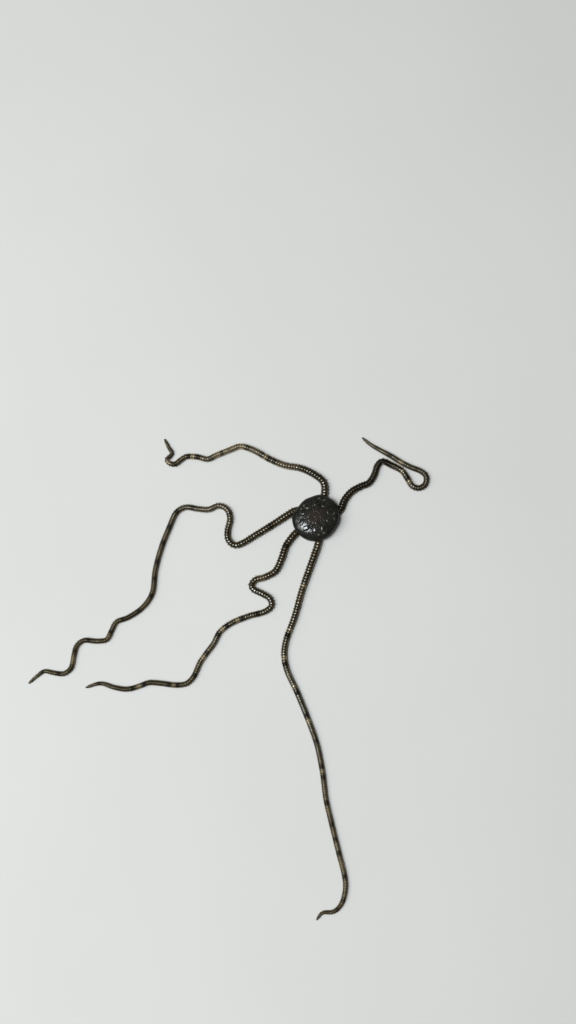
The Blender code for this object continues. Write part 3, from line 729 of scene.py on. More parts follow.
def make_arm_plates(context):
    """The arm plates, a piece for each kind: broad ovals along the top that each lap over the
    next one's root, plates down the sides that bulge where the spines stand, and nearly flat
    plates below with a small scale on both sides that covers a tube foot."""
    settings = context.scene.brittle_star_arms
    arms = make_arms(settings)
    for number, (kind, (factor, *forms)) in enumerate(ARM_PLATES.items()):
        batch = Batch(len(PLATE_RINGS), PLATE_AROUND)
        draws = np.random.default_rng(SEED + number)
        for arm in arms:
            for turns, *form in forms:
                for turn in turns:
                    add_arm_plates(batch, arm, settings, draws, turn, *form)
        plain = settings.under if kind == "lower" else None
        piece = batch.make(f"{kind}_arm_plates",
                           plate_finish(context.scene, f"{kind}_plates", factor, plain))


SPINE_AROUND = 6
SPINE_RINGS = ((0.0, 1.0), (0.35, 1.0), (0.74, 0.80), (0.94, 0.48))

# From the upper spine to the lower: the turn where it stands, and its length as a share
SPINE_TURNS = (0.58, 0.18, -0.34)
SPINE_RANKS = (0.86, 1.0, 0.92)
SPINE_TURN_JITTER = 0.06
SPINE_LEAN_JITTER = 0.08
SPINE_LENGTH_JITTER = (-0.13, 0.10)

# How far a spine leans along the arm and rises, for each part that it goes across; how it curves,
# as a share of its length; how far past its segment's middle it stands, in half-segments; and how
# deep its root sits, in half-widths
SPINE_LEAN = 1.5
SPINE_RISE = 0.85
SPINE_LEAST_RISE = 0.02
SPINE_CURVE = 0.12
SPINE_ALONG = 0.30
SPINE_ROOT = 0.12

# The shortest spine, where the spines begin and end on an arm, and how near to the arms, into the
# disc and along their own arm they may come
SPINE_LEAST = 0.08 * MM
SPINES_FROM = 1.2 * MM
SPINES_SHORT_OF_TIP = 0.5 * MM
SPINE_CLEARANCE = 0.12 * MM
SPINE_INTO_DISC = 0.05 * MM
OWN_NEIGHBOURHOOD = 3.8 * MM


def crowded(arm, distance, tips, arms):
    """Whether each spine's tip comes near the disc, another arm, or a loop of its own arm."""
    away = np.linalg.norm(tips[:, :2] - DISC_PLACE, axis=1)
    bearing = np.arctan2(tips[:, 1] - DISC_PLACE[1], tips[:, 0] - DISC_PLACE[0])
    close = away < disc_reach(bearing) - SPINE_INTO_DISC
    for other in arms:
        gap = np.linalg.norm(tips[:, None, :2] - other.places[None], axis=-1)
        near = gap < other.half_width(other.distances) + SPINE_CLEARANCE
        if other is arm:
            near &= np.abs(other.distances[None] - distance[:, None]) > OWN_NEIGHBOURHOOD
        close |= near.any(axis=1)
    return close


def add_spines(batch, arm, arms, side, turn, rank, settings, draws):
    """One spine on each segment of an arm: a tapering peg out of the side plate, leaning and
    curving towards the arm's tip, shorter inside a tight bend."""
    middle, half = segment_middles(arm)
    distance = middle + SPINE_ALONG * half
    distance = distance[(distance > SPINES_FROM) & (distance < arm.length - SPINES_SHORT_OF_TIP)]
    count = len(distance)
    turns = np.full(count, turn if side > 0 else math.pi - turn)
    turns += draws.uniform(-SPINE_TURN_JITTER, SPINE_TURN_JITTER, count)
    _, ahead, left = arm.at(distance)
    half_width = arm.half_width(distance)
    out, up = section_normal(turns)
    size = np.sqrt(half_width / ARM_HALF_WIDTH)
    reach = settings.spine_length * size * (1 + draws.uniform(*SPINE_LENGTH_JITTER, count)) * rank
    inside = side * arm.bend(distance)
    room = np.where(inside > 1, 0.5 * (1 / np.maximum(inside, 1) - half_width), np.inf)
    reach = np.minimum(reach, np.maximum(room, SPINE_LEAST))
    root = arm_surface(arm, distance, turns, np.full(count, -SPINE_ROOT))
    aim = left * out[:, None]
    aim[:, 2] = np.maximum(SPINE_RISE * up, SPINE_LEAST_RISE)
    lean = SPINE_LEAN + draws.uniform(-SPINE_LEAN_JITTER, SPINE_LEAN_JITTER, count)
    aim += ahead * lean[:, None]
    aim /= np.linalg.norm(aim, axis=1, keepdims=True)
    full = reach + SPINE_ROOT * half_width
    tips = root + aim * full[:, None]
    good = ~crowded(arm, distance, tips, arms)
    root, aim, full, ahead = root[good], aim[good], full[good], ahead[good]
    tone = arm.tone(distance[good])
    wide = np.cross(aim, [0.0, 0.0, 1.0])
    wide /= np.linalg.norm(wide, axis=1, keepdims=True)
    tall = np.cross(wide, aim)
    row, angle = capped_grid(len(SPINE_RINGS), SPINE_AROUND)
    height, width = np.array([(0.0, 0.0), *SPINE_RINGS, (1.0, 0.0)])[row].T
    radius = settings.spine_radius * size[good][:, None] * width
    points = (root[:, None] + aim[:, None] * (full[:, None] * height)[..., None]
              + wide[:, None] * (radius * np.cos(angle))[..., None]
              + tall[:, None] * (radius * np.sin(angle))[..., None]
              + ahead[:, None] * (SPINE_CURVE * full[:, None] * height ** 2)[..., None])
    points[..., 2] = np.maximum(points[..., 2], 0.0)
    distance, turns = distance[good][:, None], turns[good][:, None]
    batch.add(points, bake_places_arm(arm, distance, turns, 2 * height - 1, np.cos(angle)),
              tone=tone[:, None], far=distance / arm.length, height=height,
              tint=draws.uniform(0, 1, (len(root), 1)))


def make_spines(context):
    """The spines, a short row of pegs on each side of every segment."""
    settings = context.scene.brittle_star_arms
    arms = make_arms(settings)
    batch = Batch(len(SPINE_RINGS), SPINE_AROUND)
    draws = np.random.default_rng(SEED + 3)
    turns, ranks = [np.interp(np.linspace(0, 2, settings.spines), (0, 1, 2), known)
                    for known in (SPINE_TURNS, SPINE_RANKS)]
    for arm in arms:
        for side in (1, -1):
            for turn, rank in zip(turns, ranks):
                add_spines(batch, arm, arms, side, turn, rank, settings, draws)
    piece = batch.make("arm_spines", spine_finish(context.scene))


# Disc plates

SCALE_RINGS = ((0.45, 0.92), (0.80, 0.62), (0.95, 0.22), (1.0, -1.0))
SCALE_AROUND = 10

# The scales differ in size and are larger below the rim, and each is turned a little. Their dome,
# and how high their free edge stands, are shares of the scale rise.
SCALE_SIZE_JITTER = 0.22
SCALE_LARGER_BELOW = 0.35
SCALE_TURN_JITTER = 0.2
SCALE_DOME = 0.35
SCALE_LEAN = 0.42
SCALE_LEAN_JITTER = 0.2

# How closely the scales stand out from the middle and round it, where their rows begin, and how
# far each is moved out and round, as a share of the spacing
SCALE_OVERLAP = 1.45
SCALE_OVERLAP_ROUND = 1.3
SCALE_FIRST_ROW = 0.3 * MM
SCALE_JITTER = 0.26
SCALE_JITTER_ROUND = 0.24

# How far from an arm's middle the scales stop, in its half-widths; within how much of a larger
# plate they are left out; and how far out below the rim their inset is whole
SCALES_TO_ARM = 1.25
COVERED = 0.72
INSET_WHOLE = 1.25

# The middle's plates: one, five about it and five between, as counts, distances and radii
MIDDLE_COUNTS = 1, 5, 5
MIDDLE_AT = 0.80 * MM
MIDDLE_DISTANCES = 0.0, 1.0, 1.04
MIDDLE_RADIUS = 0.33 * MM
MIDDLE_RADII = 0.92, 1.0, 0.55
MIDDLE_WIDER = 1.05
MIDDLE_DOME = 0.8
MIDDLE_FADE = 0.5 * MM, 1.5 * MM

# A radial shield's middle as a share of the disc's radius, and along its outline
SHIELD_AT = 0.65
SHIELD_DISTANCE = float(np.interp(SHIELD_AT, MERIDIAN[1][:MERIDIAN_STEPS],
                                  MERIDIAN[0][:MERIDIAN_STEPS]))
SHIELD_NARROW = -0.14
SHIELD_SPREAD = math.radians(14)
SHIELD_TURN = math.radians(30)
SHIELD_RINGS = ((0.22, 0.97), (0.44, 0.86), (0.64, 0.68), (0.82, 0.42), (0.94, 0.16), (1.0, -1.0))
SHIELD_AROUND = 28
UNDER_SCALES_TO = 1.9 * MM
UNDER_INSET = 0.018 * MM
NEAR_MIDDLE = 0.01 * MM

# The disc's film of water is thinner down its sides, from a share of the way to the rim, and on a
# streak that parts its wet patches, in degrees
SIDES_FROM = 0.55
SIDES_LOSS = 0.75
DRY_BEARING = 203
DRY_SPREAD = 7
DRY_LOSS = 0.9

# The pale spot near a radial shield's outer end, in half-lengths and half-widths
SPOT_AT = 0.86
SPOT_LENGTH = 0.22
SPOT_WIDTH = 0.36


def shield_frames():
    """Each radial shield's middle on the disc, as distance and bearing, and its turn."""
    side = np.tile([-1, 1], len(ARM_BEARINGS))
    bearing = np.repeat(ARM_BEARINGS, 2) + side * SHIELD_SPREAD
    return np.full(len(side), SHIELD_DISTANCE), bearing, -side * SHIELD_TURN


def middle_plates():
    """The plates at the middle of the disc, as distances, bearings and radii: one, those about it
    on the arms' bearings, and the smaller ones between those."""
    bearing = np.concatenate([[0.0], ARM_BEARINGS, BETWEEN_ARMS])
    distance = MIDDLE_AT * np.repeat(MIDDLE_DISTANCES, MIDDLE_COUNTS)
    return distance, bearing, MIDDLE_RADIUS * np.repeat(MIDDLE_RADII, MIDDLE_COUNTS)


def under_plates(points, settings):
    """Whether each point of the disc lies under a radial shield or a plate of its middle."""
    covered = np.zeros(len(points), bool)
    ovals = [(distance, bearing, bearing + turn, 0.5 * settings.shield_length,
              0.5 * settings.shield_width) for distance, bearing, turn in zip(*shield_frames())]
    ovals += [(distance, bearing, bearing, radius, radius)
              for distance, bearing, radius in zip(*middle_plates())]
    for distance, bearing, heading, half_length, half_width in ovals:
        away = points[:, :2] - disc_point(np.array([distance]), np.array([bearing]))[0, :2]
        ahead = away @ [math.cos(heading), math.sin(heading)] / half_length
        beside = away @ [-math.sin(heading), math.cos(heading)] / half_width
        covered |= ahead ** 2 + beside ** 2 < COVERED
    return covered & (points[:, 2] > DISC_WAIST)


def scale_rows(settings, arms, draws):
    """Where the scales grow: rows along the disc's outline, each set round evenly, a little
    jittered, leaving out the larger plates, the arms and the mouth."""
    spacing = settings.scale_length / SCALE_OVERLAP
    rows = np.arange(SCALE_FIRST_ROW, MERIDIAN[0][-1], spacing)
    distances, bearings = [], []
    for row in rows:
        radius = float(np.interp(row, MERIDIAN[0], MERIDIAN[1])) * MEAN_REACH
        if row > RIM_DISTANCE and radius < UNDER_SCALES_TO:
            break
        count = max(6, round(math.tau * radius / (settings.scale_width / SCALE_OVERLAP_ROUND)))
        start = draws.uniform(0, 1)
        jitter = draws.uniform(-SCALE_JITTER_ROUND, SCALE_JITTER_ROUND, count)
        bearings.append((np.arange(count) + start + jitter) / count * math.tau)
        distances.append(row + draws.uniform(-SCALE_JITTER, SCALE_JITTER, count) * spacing)
    distance, bearing = np.concatenate(distances), np.concatenate(bearings)
    points = disc_point(distance, bearing)
    keep = ~under_plates(points, settings)
    below = points[:, 2] < DISC_WAIST
    keep &= ~(below & (distance_to_arms(points, arms) < SCALES_TO_ARM))
    return distance[keep], bearing[keep]


def make_disc_plates(context, name, rings, around, distance, bearing, half_length, half_width,
                     turn, rise, lean, depth, tint, tone, narrow=0.0, tips=0.0):
    """A piece of plates on the disc at distances and bearings, each turned in its own plane: a
    domed oval whose outer edge stands higher by the lean, and is wider or narrower. Each is laid
    out on the disc's flat map, with distance along the outline as radius."""
    along, across, height, sink, radius = plate_template(around, rings)
    distance, bearing, half_length, half_width, turn, rise, lean, tint, tone = [
        np.reshape(v, (-1, 1)) for v in (distance, bearing, half_length, half_width, turn, rise,
                                         lean, tint, tone)]
    ahead, beside = along * half_length, across * (1 + narrow * along) * half_width
    out = np.interp(distance, MERIDIAN[0], MERIDIAN[1]) * disc_reach(bearing)
    down = distance + np.cos(turn) * ahead - np.sin(turn) * beside
    sideways = ((np.sin(turn) * ahead + np.cos(turn) * beside)
              * (np.maximum(distance, NEAR_MIDDLE) / np.maximum(out, NEAR_MIDDLE)))
    lift = (rise * height + lean * along * (sink == 0) - depth * sink
            - UNDER_INSET * smooth_step(distance, RIM_DISTANCE, INSET_WHOLE * RIM_DISTANCE))
    from_middle, angle = np.hypot(down, sideways), bearing + np.arctan2(sideways, down)
    spot = np.exp(-((along - SPOT_AT) / SPOT_LENGTH) ** 2 - (across / SPOT_WIDTH) ** 2)
    dry = np.exp(-(((np.degrees(angle) - DRY_BEARING + 180) % 360 - 180) / DRY_SPREAD) ** 2)
    drained = smooth_step(from_middle, SIDES_FROM * RIM_DISTANCE, RIM_DISTANCE)
    batch = Batch(len(rings), around)
    # The nearness to a plate's rim lays the radial shields' painted highlight along their rims
    batch.add(disc_surface(np.minimum(from_middle, MERIDIAN[0][-1]), angle, lift),
              bake_places_disc(distance, bearing, along, across), tint=tint, tone=tone,
              rim=radius ** 3, spot=spot, wet=(1 - SIDES_LOSS * drained) * (1 - DRY_LOSS * dry))
    piece = batch.make(name, disc_finish(context.scene, name, tips))


def make_disc_scales(context):
    """The disc's scales, fine rounded plates whose free edges lie outwards, row over row."""
    settings = context.scene.brittle_star_disc
    draws = np.random.default_rng(SEED + 4)
    distance, bearing = scale_rows(settings, make_arms(context.scene.brittle_star_arms), draws)
    count = len(distance)
    size = (1 + SCALE_SIZE_JITTER * draws.uniform(-1, 1, count)
            + SCALE_LARGER_BELOW * (distance > RIM_DISTANCE))
    tint = draws.uniform(0, 1, count)
    turn = draws.uniform(-SCALE_TURN_JITTER, SCALE_TURN_JITTER, count)
    lean = SCALE_LEAN + SCALE_LEAN_JITTER * draws.uniform(-1, 1, count)
    make_disc_plates(
        context, "disc_scales", SCALE_RINGS, SCALE_AROUND, distance, bearing,
        half_length=0.5 * settings.scale_length * size,
        half_width=0.5 * settings.scale_width * size, turn=turn,
        rise=SCALE_DOME * settings.scale_rise, lean=settings.scale_rise * lean,
        depth=1.5 * SCALE_DEPTH, tint=tint, tone=middle_tone(distance))


def middle_tone(distance):
    """How much of the middle's paler brown the disc has at a distance along its outline."""
    return 1 - smooth_step(distance, *MIDDLE_FADE)


def make_middle_plates(context):
    """The rounded plates at the middle of the disc's top, the first that the animal grew."""
    draws = np.random.default_rng(SEED + 5)
    distance, bearing, radius = middle_plates()
    make_disc_plates(
        context, "middle_plates", SHIELD_RINGS, SHIELD_AROUND, distance, bearing,
        half_length=radius, half_width=radius * MIDDLE_WIDER, turn=0.0,
        rise=MIDDLE_DOME * context.scene.brittle_star_disc.scale_rise, lean=0.0,
        depth=1.5 * SCALE_DEPTH, tint=draws.uniform(0, 1, len(distance)), tone=middle_tone(distance))


def make_radial_shields(context):
    """A pair of long rounded shields at the root of each arm, narrower towards the middle."""
    settings = context.scene.brittle_star_disc
    draws = np.random.default_rng(SEED + 6)
    distance, bearing, turn = shield_frames()
    make_disc_plates(
        context, "radial_shields", SHIELD_RINGS, SHIELD_AROUND, distance, bearing,
        half_length=0.5 * settings.shield_length, half_width=0.5 * settings.shield_width,
        turn=turn, rise=settings.shield_rise, lean=0.0, depth=2 * SCALE_DEPTH,
        tint=draws.uniform(0, 1, len(distance)), tone=0.0, narrow=SHIELD_NARROW, tips=1.0)


# Mouth

# A block's points and roundness, how far from its widest line its rim reaches, how wet it is, and
# the side of the map that the blocks share
PEBBLE_ROWS = 9
PEBBLE_AROUND = 16
PEBBLE_POWER = 0.62
PEBBLE_RIM = 0.3
PEBBLE_WET = 0.7
MOUTH_MAP = 12 * MM

# A jaw's height, how far its tip is from the mouth's middle, and how it narrows
JAW_HEIGHT = 0.60 * MM
JAW_TIP = 0.22 * MM
JAW_TAPER = 0.8
JAW_NARROWEST = 0.25

# The pegs along a jaw's edges: how many, where, at shares of its length, how high, and how far
# they and the shields beside it are turned
PEGS = 4
PEG_SHARES = (np.arange(PEGS) + 0.9) / (PEGS + 0.6)
PEG_UP = 0.12 * MM
PEG_TURN = 0.9
BESIDE_TURN = 0.85

# The mouth's smaller blocks: half their size ahead, aside and up, and how far they narrow ahead
PEG = (0.10 * MM, 0.055 * MM, 0.12 * MM), 0.45
TIP_PEG = (0.10 * MM, 0.075 * MM, 0.16 * MM), 0.3
MOUTH_SHIELD = (0.36 * MM, 0.33 * MM, 0.07 * MM), 0.35
BESIDE_SHIELD = (0.30 * MM, 0.17 * MM, 0.10 * MM), 0.3
FIRST_PLATE = (0.20 * MM, 0.33 * MM, 0.22 * MM), 0.3

# Places aside and up, after how far behind the jaw or out from the mouth's middle
TIP_PEG_PLACE = 0.07 * MM, 0.17 * MM
BESIDE_PLACE = 0.08 * MM, 0.34 * MM, 0.10 * MM
MOUTH_SHIELD_PLACE = 0.26 * MM, 0.0, 0.08 * MM
FIRST_PLATE_PLACE = 1.46 * MM, 0.0, 0.22 * MM


def pebble_template():
    """A rounded block: a super-ellipsoid's points between -1 and 1, from its top to its base."""
    row, turn = capped_grid(PEBBLE_ROWS, PEBBLE_AROUND)
    fall = row * math.pi / (PEBBLE_ROWS + 1)
    across, ahead, up = [rounded(v, PEBBLE_POWER)
                         for v in (np.sin(turn), np.cos(turn), np.cos(fall))]
    ring = np.where((row > 0) & (row <= PEBBLE_ROWS), np.sin(fall), 0.0) ** PEBBLE_POWER
    return np.stack([ring * ahead, ring * across, up], -1)


def add_pebble(batch, bearing, place, heading, size, taper, tint, hug=0):
    """A rounded block of the mouth. Its place is given outwards and sideways on a bearing, and up;
    it is turned from that bearing by the heading, and narrows ahead by the taper, about its middle
    line or, where it hugs, about the edge on that side."""
    form = pebble_template()
    narrow = size[1] * (1 - taper * (form[:, 0] + 1) / 2)
    ahead, beside = form[:, 0] * size[0], form[:, 1] * narrow + hug * (narrow - size[1])
    cos, sin = math.cos(heading), math.sin(heading)
    out = place[0] + cos * ahead - sin * beside
    aside = place[1] + sin * ahead + cos * beside
    cos, sin = math.cos(bearing), math.sin(bearing)
    points = np.stack([DISC_PLACE[0] + cos * out - sin * aside,
                       DISC_PLACE[1] + sin * out + cos * aside,
                       np.maximum(place[2] + form[:, 2] * size[2], 0.0)], -1)
    places = (points[:, :2] - DISC_PLACE) / MOUTH_MAP + 0.5
    batch.add(points[None], places[None], tint=tint, rim=np.abs(form[:, 2]) < PEBBLE_RIM,
              wet=PEBBLE_WET, tone=0.0, far=0.0)


def make_jaws(context):
    """Five jaws that point at the mouth between the arms. Each is two halves side by side, with
    pegs along its edges and a pair at its tip, and three shields behind it. A rounded plate
    closes the root of each arm."""
    settings = context.scene.brittle_star_mouth
    draws = np.random.default_rng(SEED + 7)
    batch = Batch(PEBBLE_ROWS, PEBBLE_AROUND)
    half, quarter, up = 0.5 * settings.jaw_length, 0.25 * settings.jaw_width, 0.5 * JAW_HEIGHT
    back = JAW_TIP + settings.jaw_length
    for bearing in BETWEEN_ARMS:
        for side in (-1, 1):
            add_pebble(batch, bearing, (JAW_TIP + half, side * quarter, up), math.pi,
                       (half, quarter, up), JAW_TAPER, draws.uniform(), -side)
            aside, height = TIP_PEG_PLACE
            add_pebble(batch, bearing, (JAW_TIP, side * aside, height), math.pi, *TIP_PEG,
                       draws.uniform())
            for part in PEG_SHARES:
                aside = 2 * quarter * (JAW_NARROWEST + (1 - JAW_NARROWEST) * part)
                place = (JAW_TIP + part * settings.jaw_length, side * aside, PEG_UP)
                add_pebble(batch, bearing, place, math.pi - side * PEG_TURN, *PEG,
                           draws.uniform())
            behind, aside, height = BESIDE_PLACE
            add_pebble(batch, bearing, (back + behind, side * aside, height),
                       side * BESIDE_TURN, *BESIDE_SHIELD, draws.uniform())
        behind, aside, height = MOUTH_SHIELD_PLACE
        add_pebble(batch, bearing, (back + behind, aside, height), math.pi, *MOUTH_SHIELD,
                   draws.uniform())
    for bearing in ARM_BEARINGS:
        add_pebble(batch, bearing, FIRST_PLATE_PLACE, math.pi, *FIRST_PLATE, draws.uniform())
    piece = batch.make("mouth_parts", plate_finish(context.scene, "mouth_parts", 1.0,
                                                   settings.bone))
    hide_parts("jaws")


# Finishes

# Cloudy patterns, in features to the metre
ARM_SPECKLES = 9000.0
ARM_CLOUDS = 700.0
SKIN_CLOUDS = 5000.0
DISC_GRAIN = 11000.0
DISC_CLOUDS = 900.0
FLOOR_CLOUDS = 30.0

SKIN_SHADOW = (0.006, 0.005, 0.004)

# Between which values a cloudy pattern goes from its darkest to its lightest
NOISE_SPAN = 0.3, 0.7

# How light the arms' plates and the disc's scales are, by their own tint and by the fine grain
ARM_TINTS = 0.82, 1.2
ARM_GRAINS = 0.75, 1.25
DISC_TINTS = 0.75, 1.3
DISC_GRAINS = 0.8, 1.2

# Their roughness, from the grain's darkest to its lightest
PLATE_ROUGHNESS = 0.30, 0.46
DISC_ROUGHNESS = 0.38, 0.55

# The strength and depth of the bumps
PLATE_BUMP = 0.35, 0.006 * MM
SKIN_BUMP = 0.3, 0.01 * MM
DISC_BUMP = 0.2, 0.004 * MM

# The film of water: its weight where the piece doesn't give one, its roughness and its index
PLATE_FILM = 0.20, 1.8
SPINE_FILM = 0.6, 0.12
SKIN_FILM = 0.7, 0.10
DISC_FILM = 0.07


class Shader:
    """A material's node tree, built node by node."""

    def __init__(self, name):
        self.material = bpy.data.materials.new(name)
        self.material.use_nodes = True
        self.nodes = self.material.node_tree.nodes
        self.links = self.material.node_tree.links
        self.surface = self.nodes["Principled BSDF"]

    def add(self, kind, **inputs):
        """A node, with each named input set to a value or linked to another node's output."""
        node = self.nodes.new(kind)
        for key, value in inputs.items():
            self.put(node, key.replace("_", " "), value)
        return node

    def put(self, node, key, value):
        socket = node.inputs[int(key[1:])] if key[1:].isdigit() else node.inputs[key]
        if isinstance(value, bpy.types.NodeSocket):
            self.links.new(value, socket)
        else:
            socket.default_value = value

    def number(self, name):
        """The piece's own named number at each point."""
        node = self.nodes.new("ShaderNodeAttribute")
        node.attribute_name = name
        return node.outputs["Fac"]

    def math(self, operation, a, b=0.0, clamp=False):
        node = self.add("ShaderNodeMath", i0=a, i1=b)
        node.operation = operation
        node.use_clamp = clamp
        return node.outputs[0]

    def mix(self, factor, a, b, blend="MIX"):
        node = self.nodes.new("ShaderNodeMix")
        node.data_type = "RGBA"
        node.blend_type = blend
        self.put(node, "i0", factor)
        self.put(node, "i6", a)
        self.put(node, "i7", b)
        return node.outputs[2]

    def noise(self, scale, detail=3.0, roughness=0.55):
        """A cloudy pattern on the object's own coordinates, scale in features to the metre."""
        where = self.nodes.new("ShaderNodeTexCoord").outputs["Object"]
        return self.add("ShaderNodeTexNoise", Vector=where, Scale=scale, Detail=detail,
                        Roughness=roughness).outputs["Fac"]

    def remap(self, value, low, high, to_low, to_high):
        node = self.add("ShaderNodeMapRange", Value=value)
        node.clamp = True
        for socket, number in zip(node.inputs[1:5], (low, high, to_low, to_high)):
            socket.default_value = number
        return node.outputs[0]

    def bump(self, height, strength, distance):
        node = self.add("ShaderNodeBump", Height=height, Strength=strength, Distance=distance)
        return node.outputs["Normal"]

    def wet(self, coat, coat_roughness, index=1.45):
        """A film of water over the surface, which is itself nearly matt."""
        self.put(self.surface, "Specular IOR Level", 0.06)
        self.put(self.surface, "Coat Weight", coat)
        self.put(self.surface, "Coat Roughness", coat_roughness)
        self.put(self.surface, "Coat IOR", index)

    def mottled(self, base, tints, grain, grains):
        """The base, lighter or darker by the plate's own tint and by a fine grain."""
        shade = self.math("MULTIPLY", self.remap(self.number("tint"), 0.0, 1.0, *tints),
                          self.remap(grain, *NOISE_SPAN, *grains))
        grey = self.add("ShaderNodeCombineColor", Red=shade, Green=shade, Blue=shade).outputs[0]
        return self.mix(1.0, base, grey, "MULTIPLY")

    def toward(self, base, other, number, strength=1.0):
        """The base, taken towards another colour by a number times the strength."""
        return self.mix(self.math("MULTIPLY", number, strength, True), base, other)

    def clouded(self, base, other, pattern, low, high, most=1.0):
        """The base, taken towards another colour as the pattern goes from low to high."""
        return self.mix(self.remap(pattern, low, high, 0.0, most), base, other)

    def finish(self, base, roughness, normal=None):
        """The material, once its surface has its colour, roughness and bumps."""
        self.put(self.surface, "Base Color", base)
        self.put(self.surface, "Roughness", roughness)
        if normal:
            self.put(self.surface, "Normal", normal)
        return self.material


def paint(values, factor=1.0):
    """A colour made lighter or darker by a factor, as a socket takes it."""
    return (*(min(1.0, v * factor) for v in values), 1.0)


def banded(shader, settings, factor, plain=None):
    """The arms' colour: plain, pale or dark by the tone, each plate a little lighter or darker,
    with fine cloudy speckles."""
    tone = shader.number("tone")
    speckle = shader.noise(ARM_SPECKLES)
    near, far = [paint(plain or own, factor) for own in (settings.plain, settings.far)]
    mixed = shader.clouded(near, far, shader.number("far"), 0.35, 0.95)
    mixed = shader.clouded(mixed, paint(settings.dark, 1.6), shader.noise(ARM_CLOUDS, 2.0),
                           0.35, 0.65, 0.35)
    mixed = shader.toward(mixed, paint(settings.pale, factor), tone, 0.9)
    mixed = shader.toward(mixed, paint(settings.dark), tone, -1.05)
    return shader.mottled(mixed, ARM_TINTS, speckle, ARM_GRAINS), speckle


def plate_finish(scene, name, factor, plain=None):
    """Wet limy plates, darker towards their rims."""
    settings = scene.brittle_star_arms
    shader = Shader(name)
    base, speckle = banded(shader, settings, factor, plain)
    base = shader.toward(base, paint(settings.dark), shader.number("rim"), 1.15)
    shader.wet(shader.number("wet"), *PLATE_FILM)
    return shader.finish(base, shader.remap(speckle, *NOISE_SPAN, *PLATE_ROUGHNESS),
                         shader.bump(speckle, *PLATE_BUMP))


def spine_finish(scene):
    """Spines a little paler and more glassy than the plates, palest at their tips."""
    settings = scene.brittle_star_arms
    shader = Shader("arm_spines")
    base, _ = banded(shader, settings, 1.0, tuple(settings.spine))
    base = shader.clouded(base, paint(settings.pale, 0.8), shader.number("height"),
                          0.4, 1.0, 0.45)
    shader.wet(*SPINE_FILM)
    return shader.finish(base, 0.35)


def skin_finish(scene):
    """The skin between the plates, darker than they are, near black on the disc."""
    arms = scene.brittle_star_arms
    shader = Shader("skin")
    cloud = shader.noise(SKIN_CLOUDS)
    tone = shader.number("tone")
    arm = shader.toward(paint(arms.plain, 0.45), paint(arms.pale, 0.6), tone, 0.7)
    arm = shader.toward(arm, paint(arms.dark), tone, -1.0)
    both = shader.mix(shader.number("disc"), arm, paint(scene.brittle_star_disc.plain, 0.6))
    both = shader.clouded(both, paint(SKIN_SHADOW), cloud, *NOISE_SPAN, 0.4)
    shader.wet(*SKIN_FILM)
    return shader.finish(both, 0.4, shader.bump(cloud, *SKIN_BUMP))


def disc_finish(scene, name, tips=0.0):
    """Near-black wet scales, browner at the middle, with a pale tip on the radial shields and a
    painted highlight in a pale ring along their rims.
    """
    settings = scene.brittle_star_disc
    shader = Shader(name)
    grain = shader.noise(DISC_GRAIN)
    base = shader.clouded(paint(settings.plain, 0.6), paint(settings.plain, 1.5),
                          shader.noise(DISC_CLOUDS, 4.0), 0.35, 0.68)
    base = shader.toward(base, paint(settings.middle), shader.number("tone"), 0.75)
    base = shader.mottled(base, DISC_TINTS, grain, DISC_GRAINS)
    if tips:
        tip = paint(settings.rim)
        # A painted highlight: a pale ring along the radial shields' rims
        base = shader.clouded(base, tip, shader.number("rim"), 0.30, 0.85, 0.19 * tips)
        base = shader.toward(base, tip, shader.number("spot"), tips)
    shader.wet(shader.number("wet"), DISC_FILM)
    return shader.finish(base, shader.remap(grain, *NOISE_SPAN, *DISC_ROUGHNESS),
                         shader.bump(grain, *DISC_BUMP))


def floor_finish(scene):
    """A plain pale matt floor."""
    shader = Shader("floor")
    floor = scene.brittle_star_stage.floor
    base = shader.clouded(paint(floor), paint(floor, 0.97), shader.noise(FLOOR_CLOUDS),
                          *NOISE_SPAN)
    shader.put(shader.surface, "Specular IOR Level", 0.2)
    return shader.finish(base, 0.7)


# Stage

# Each light's bearing and tilt off the vertical in degrees, its distance and size in metres, its
# tint, and whether it shows in wet surfaces
LIGHTS = {
    "key": (200, 19, 0.45, 0.16, (0.90, 0.97, 1.0), True),
    "side": (193, 44, 0.60, 0.25, (0.95, 0.98, 1.0), True),
    "fill": (170, 60, 0.70, 0.70, (1.0, 0.98, 0.94), False),
}

# The room's tint, how far the floor lies under the animal, and from where to where the camera sees
ROOM_TINT = (1.0, 0.97, 0.94, 1.0)
FLOOR_DROP = 0.005 * MM
CAMERA_NEAR = 1 * MM
CAMERA_FAR = 10


def add_light(name, radiance):
    """A square light that faces the disc, as bright as the radiance says."""
    bearing, tilt, distance, size, tint, mirrored = LIGHTS[name]
    lamp = bpy.data.lights.new(name, "AREA")
    lamp.shape = "SQUARE"
    lamp.size = size
    lamp.energy = radiance * math.pi * size * size
    lamp.color = tint
    light = add_object(name, lamp)
    lean, turn = math.radians(tilt), math.radians(bearing)
    away = Vector((math.sin(lean) * math.cos(turn), math.sin(lean) * math.sin(turn),
                   math.cos(lean)))
    light.location = Vector((*DISC_PLACE, 0.0)) + away * distance
    light.rotation_euler = away.to_track_quat("Z", "Y").to_euler()
    light.visible_glossy = mirrored


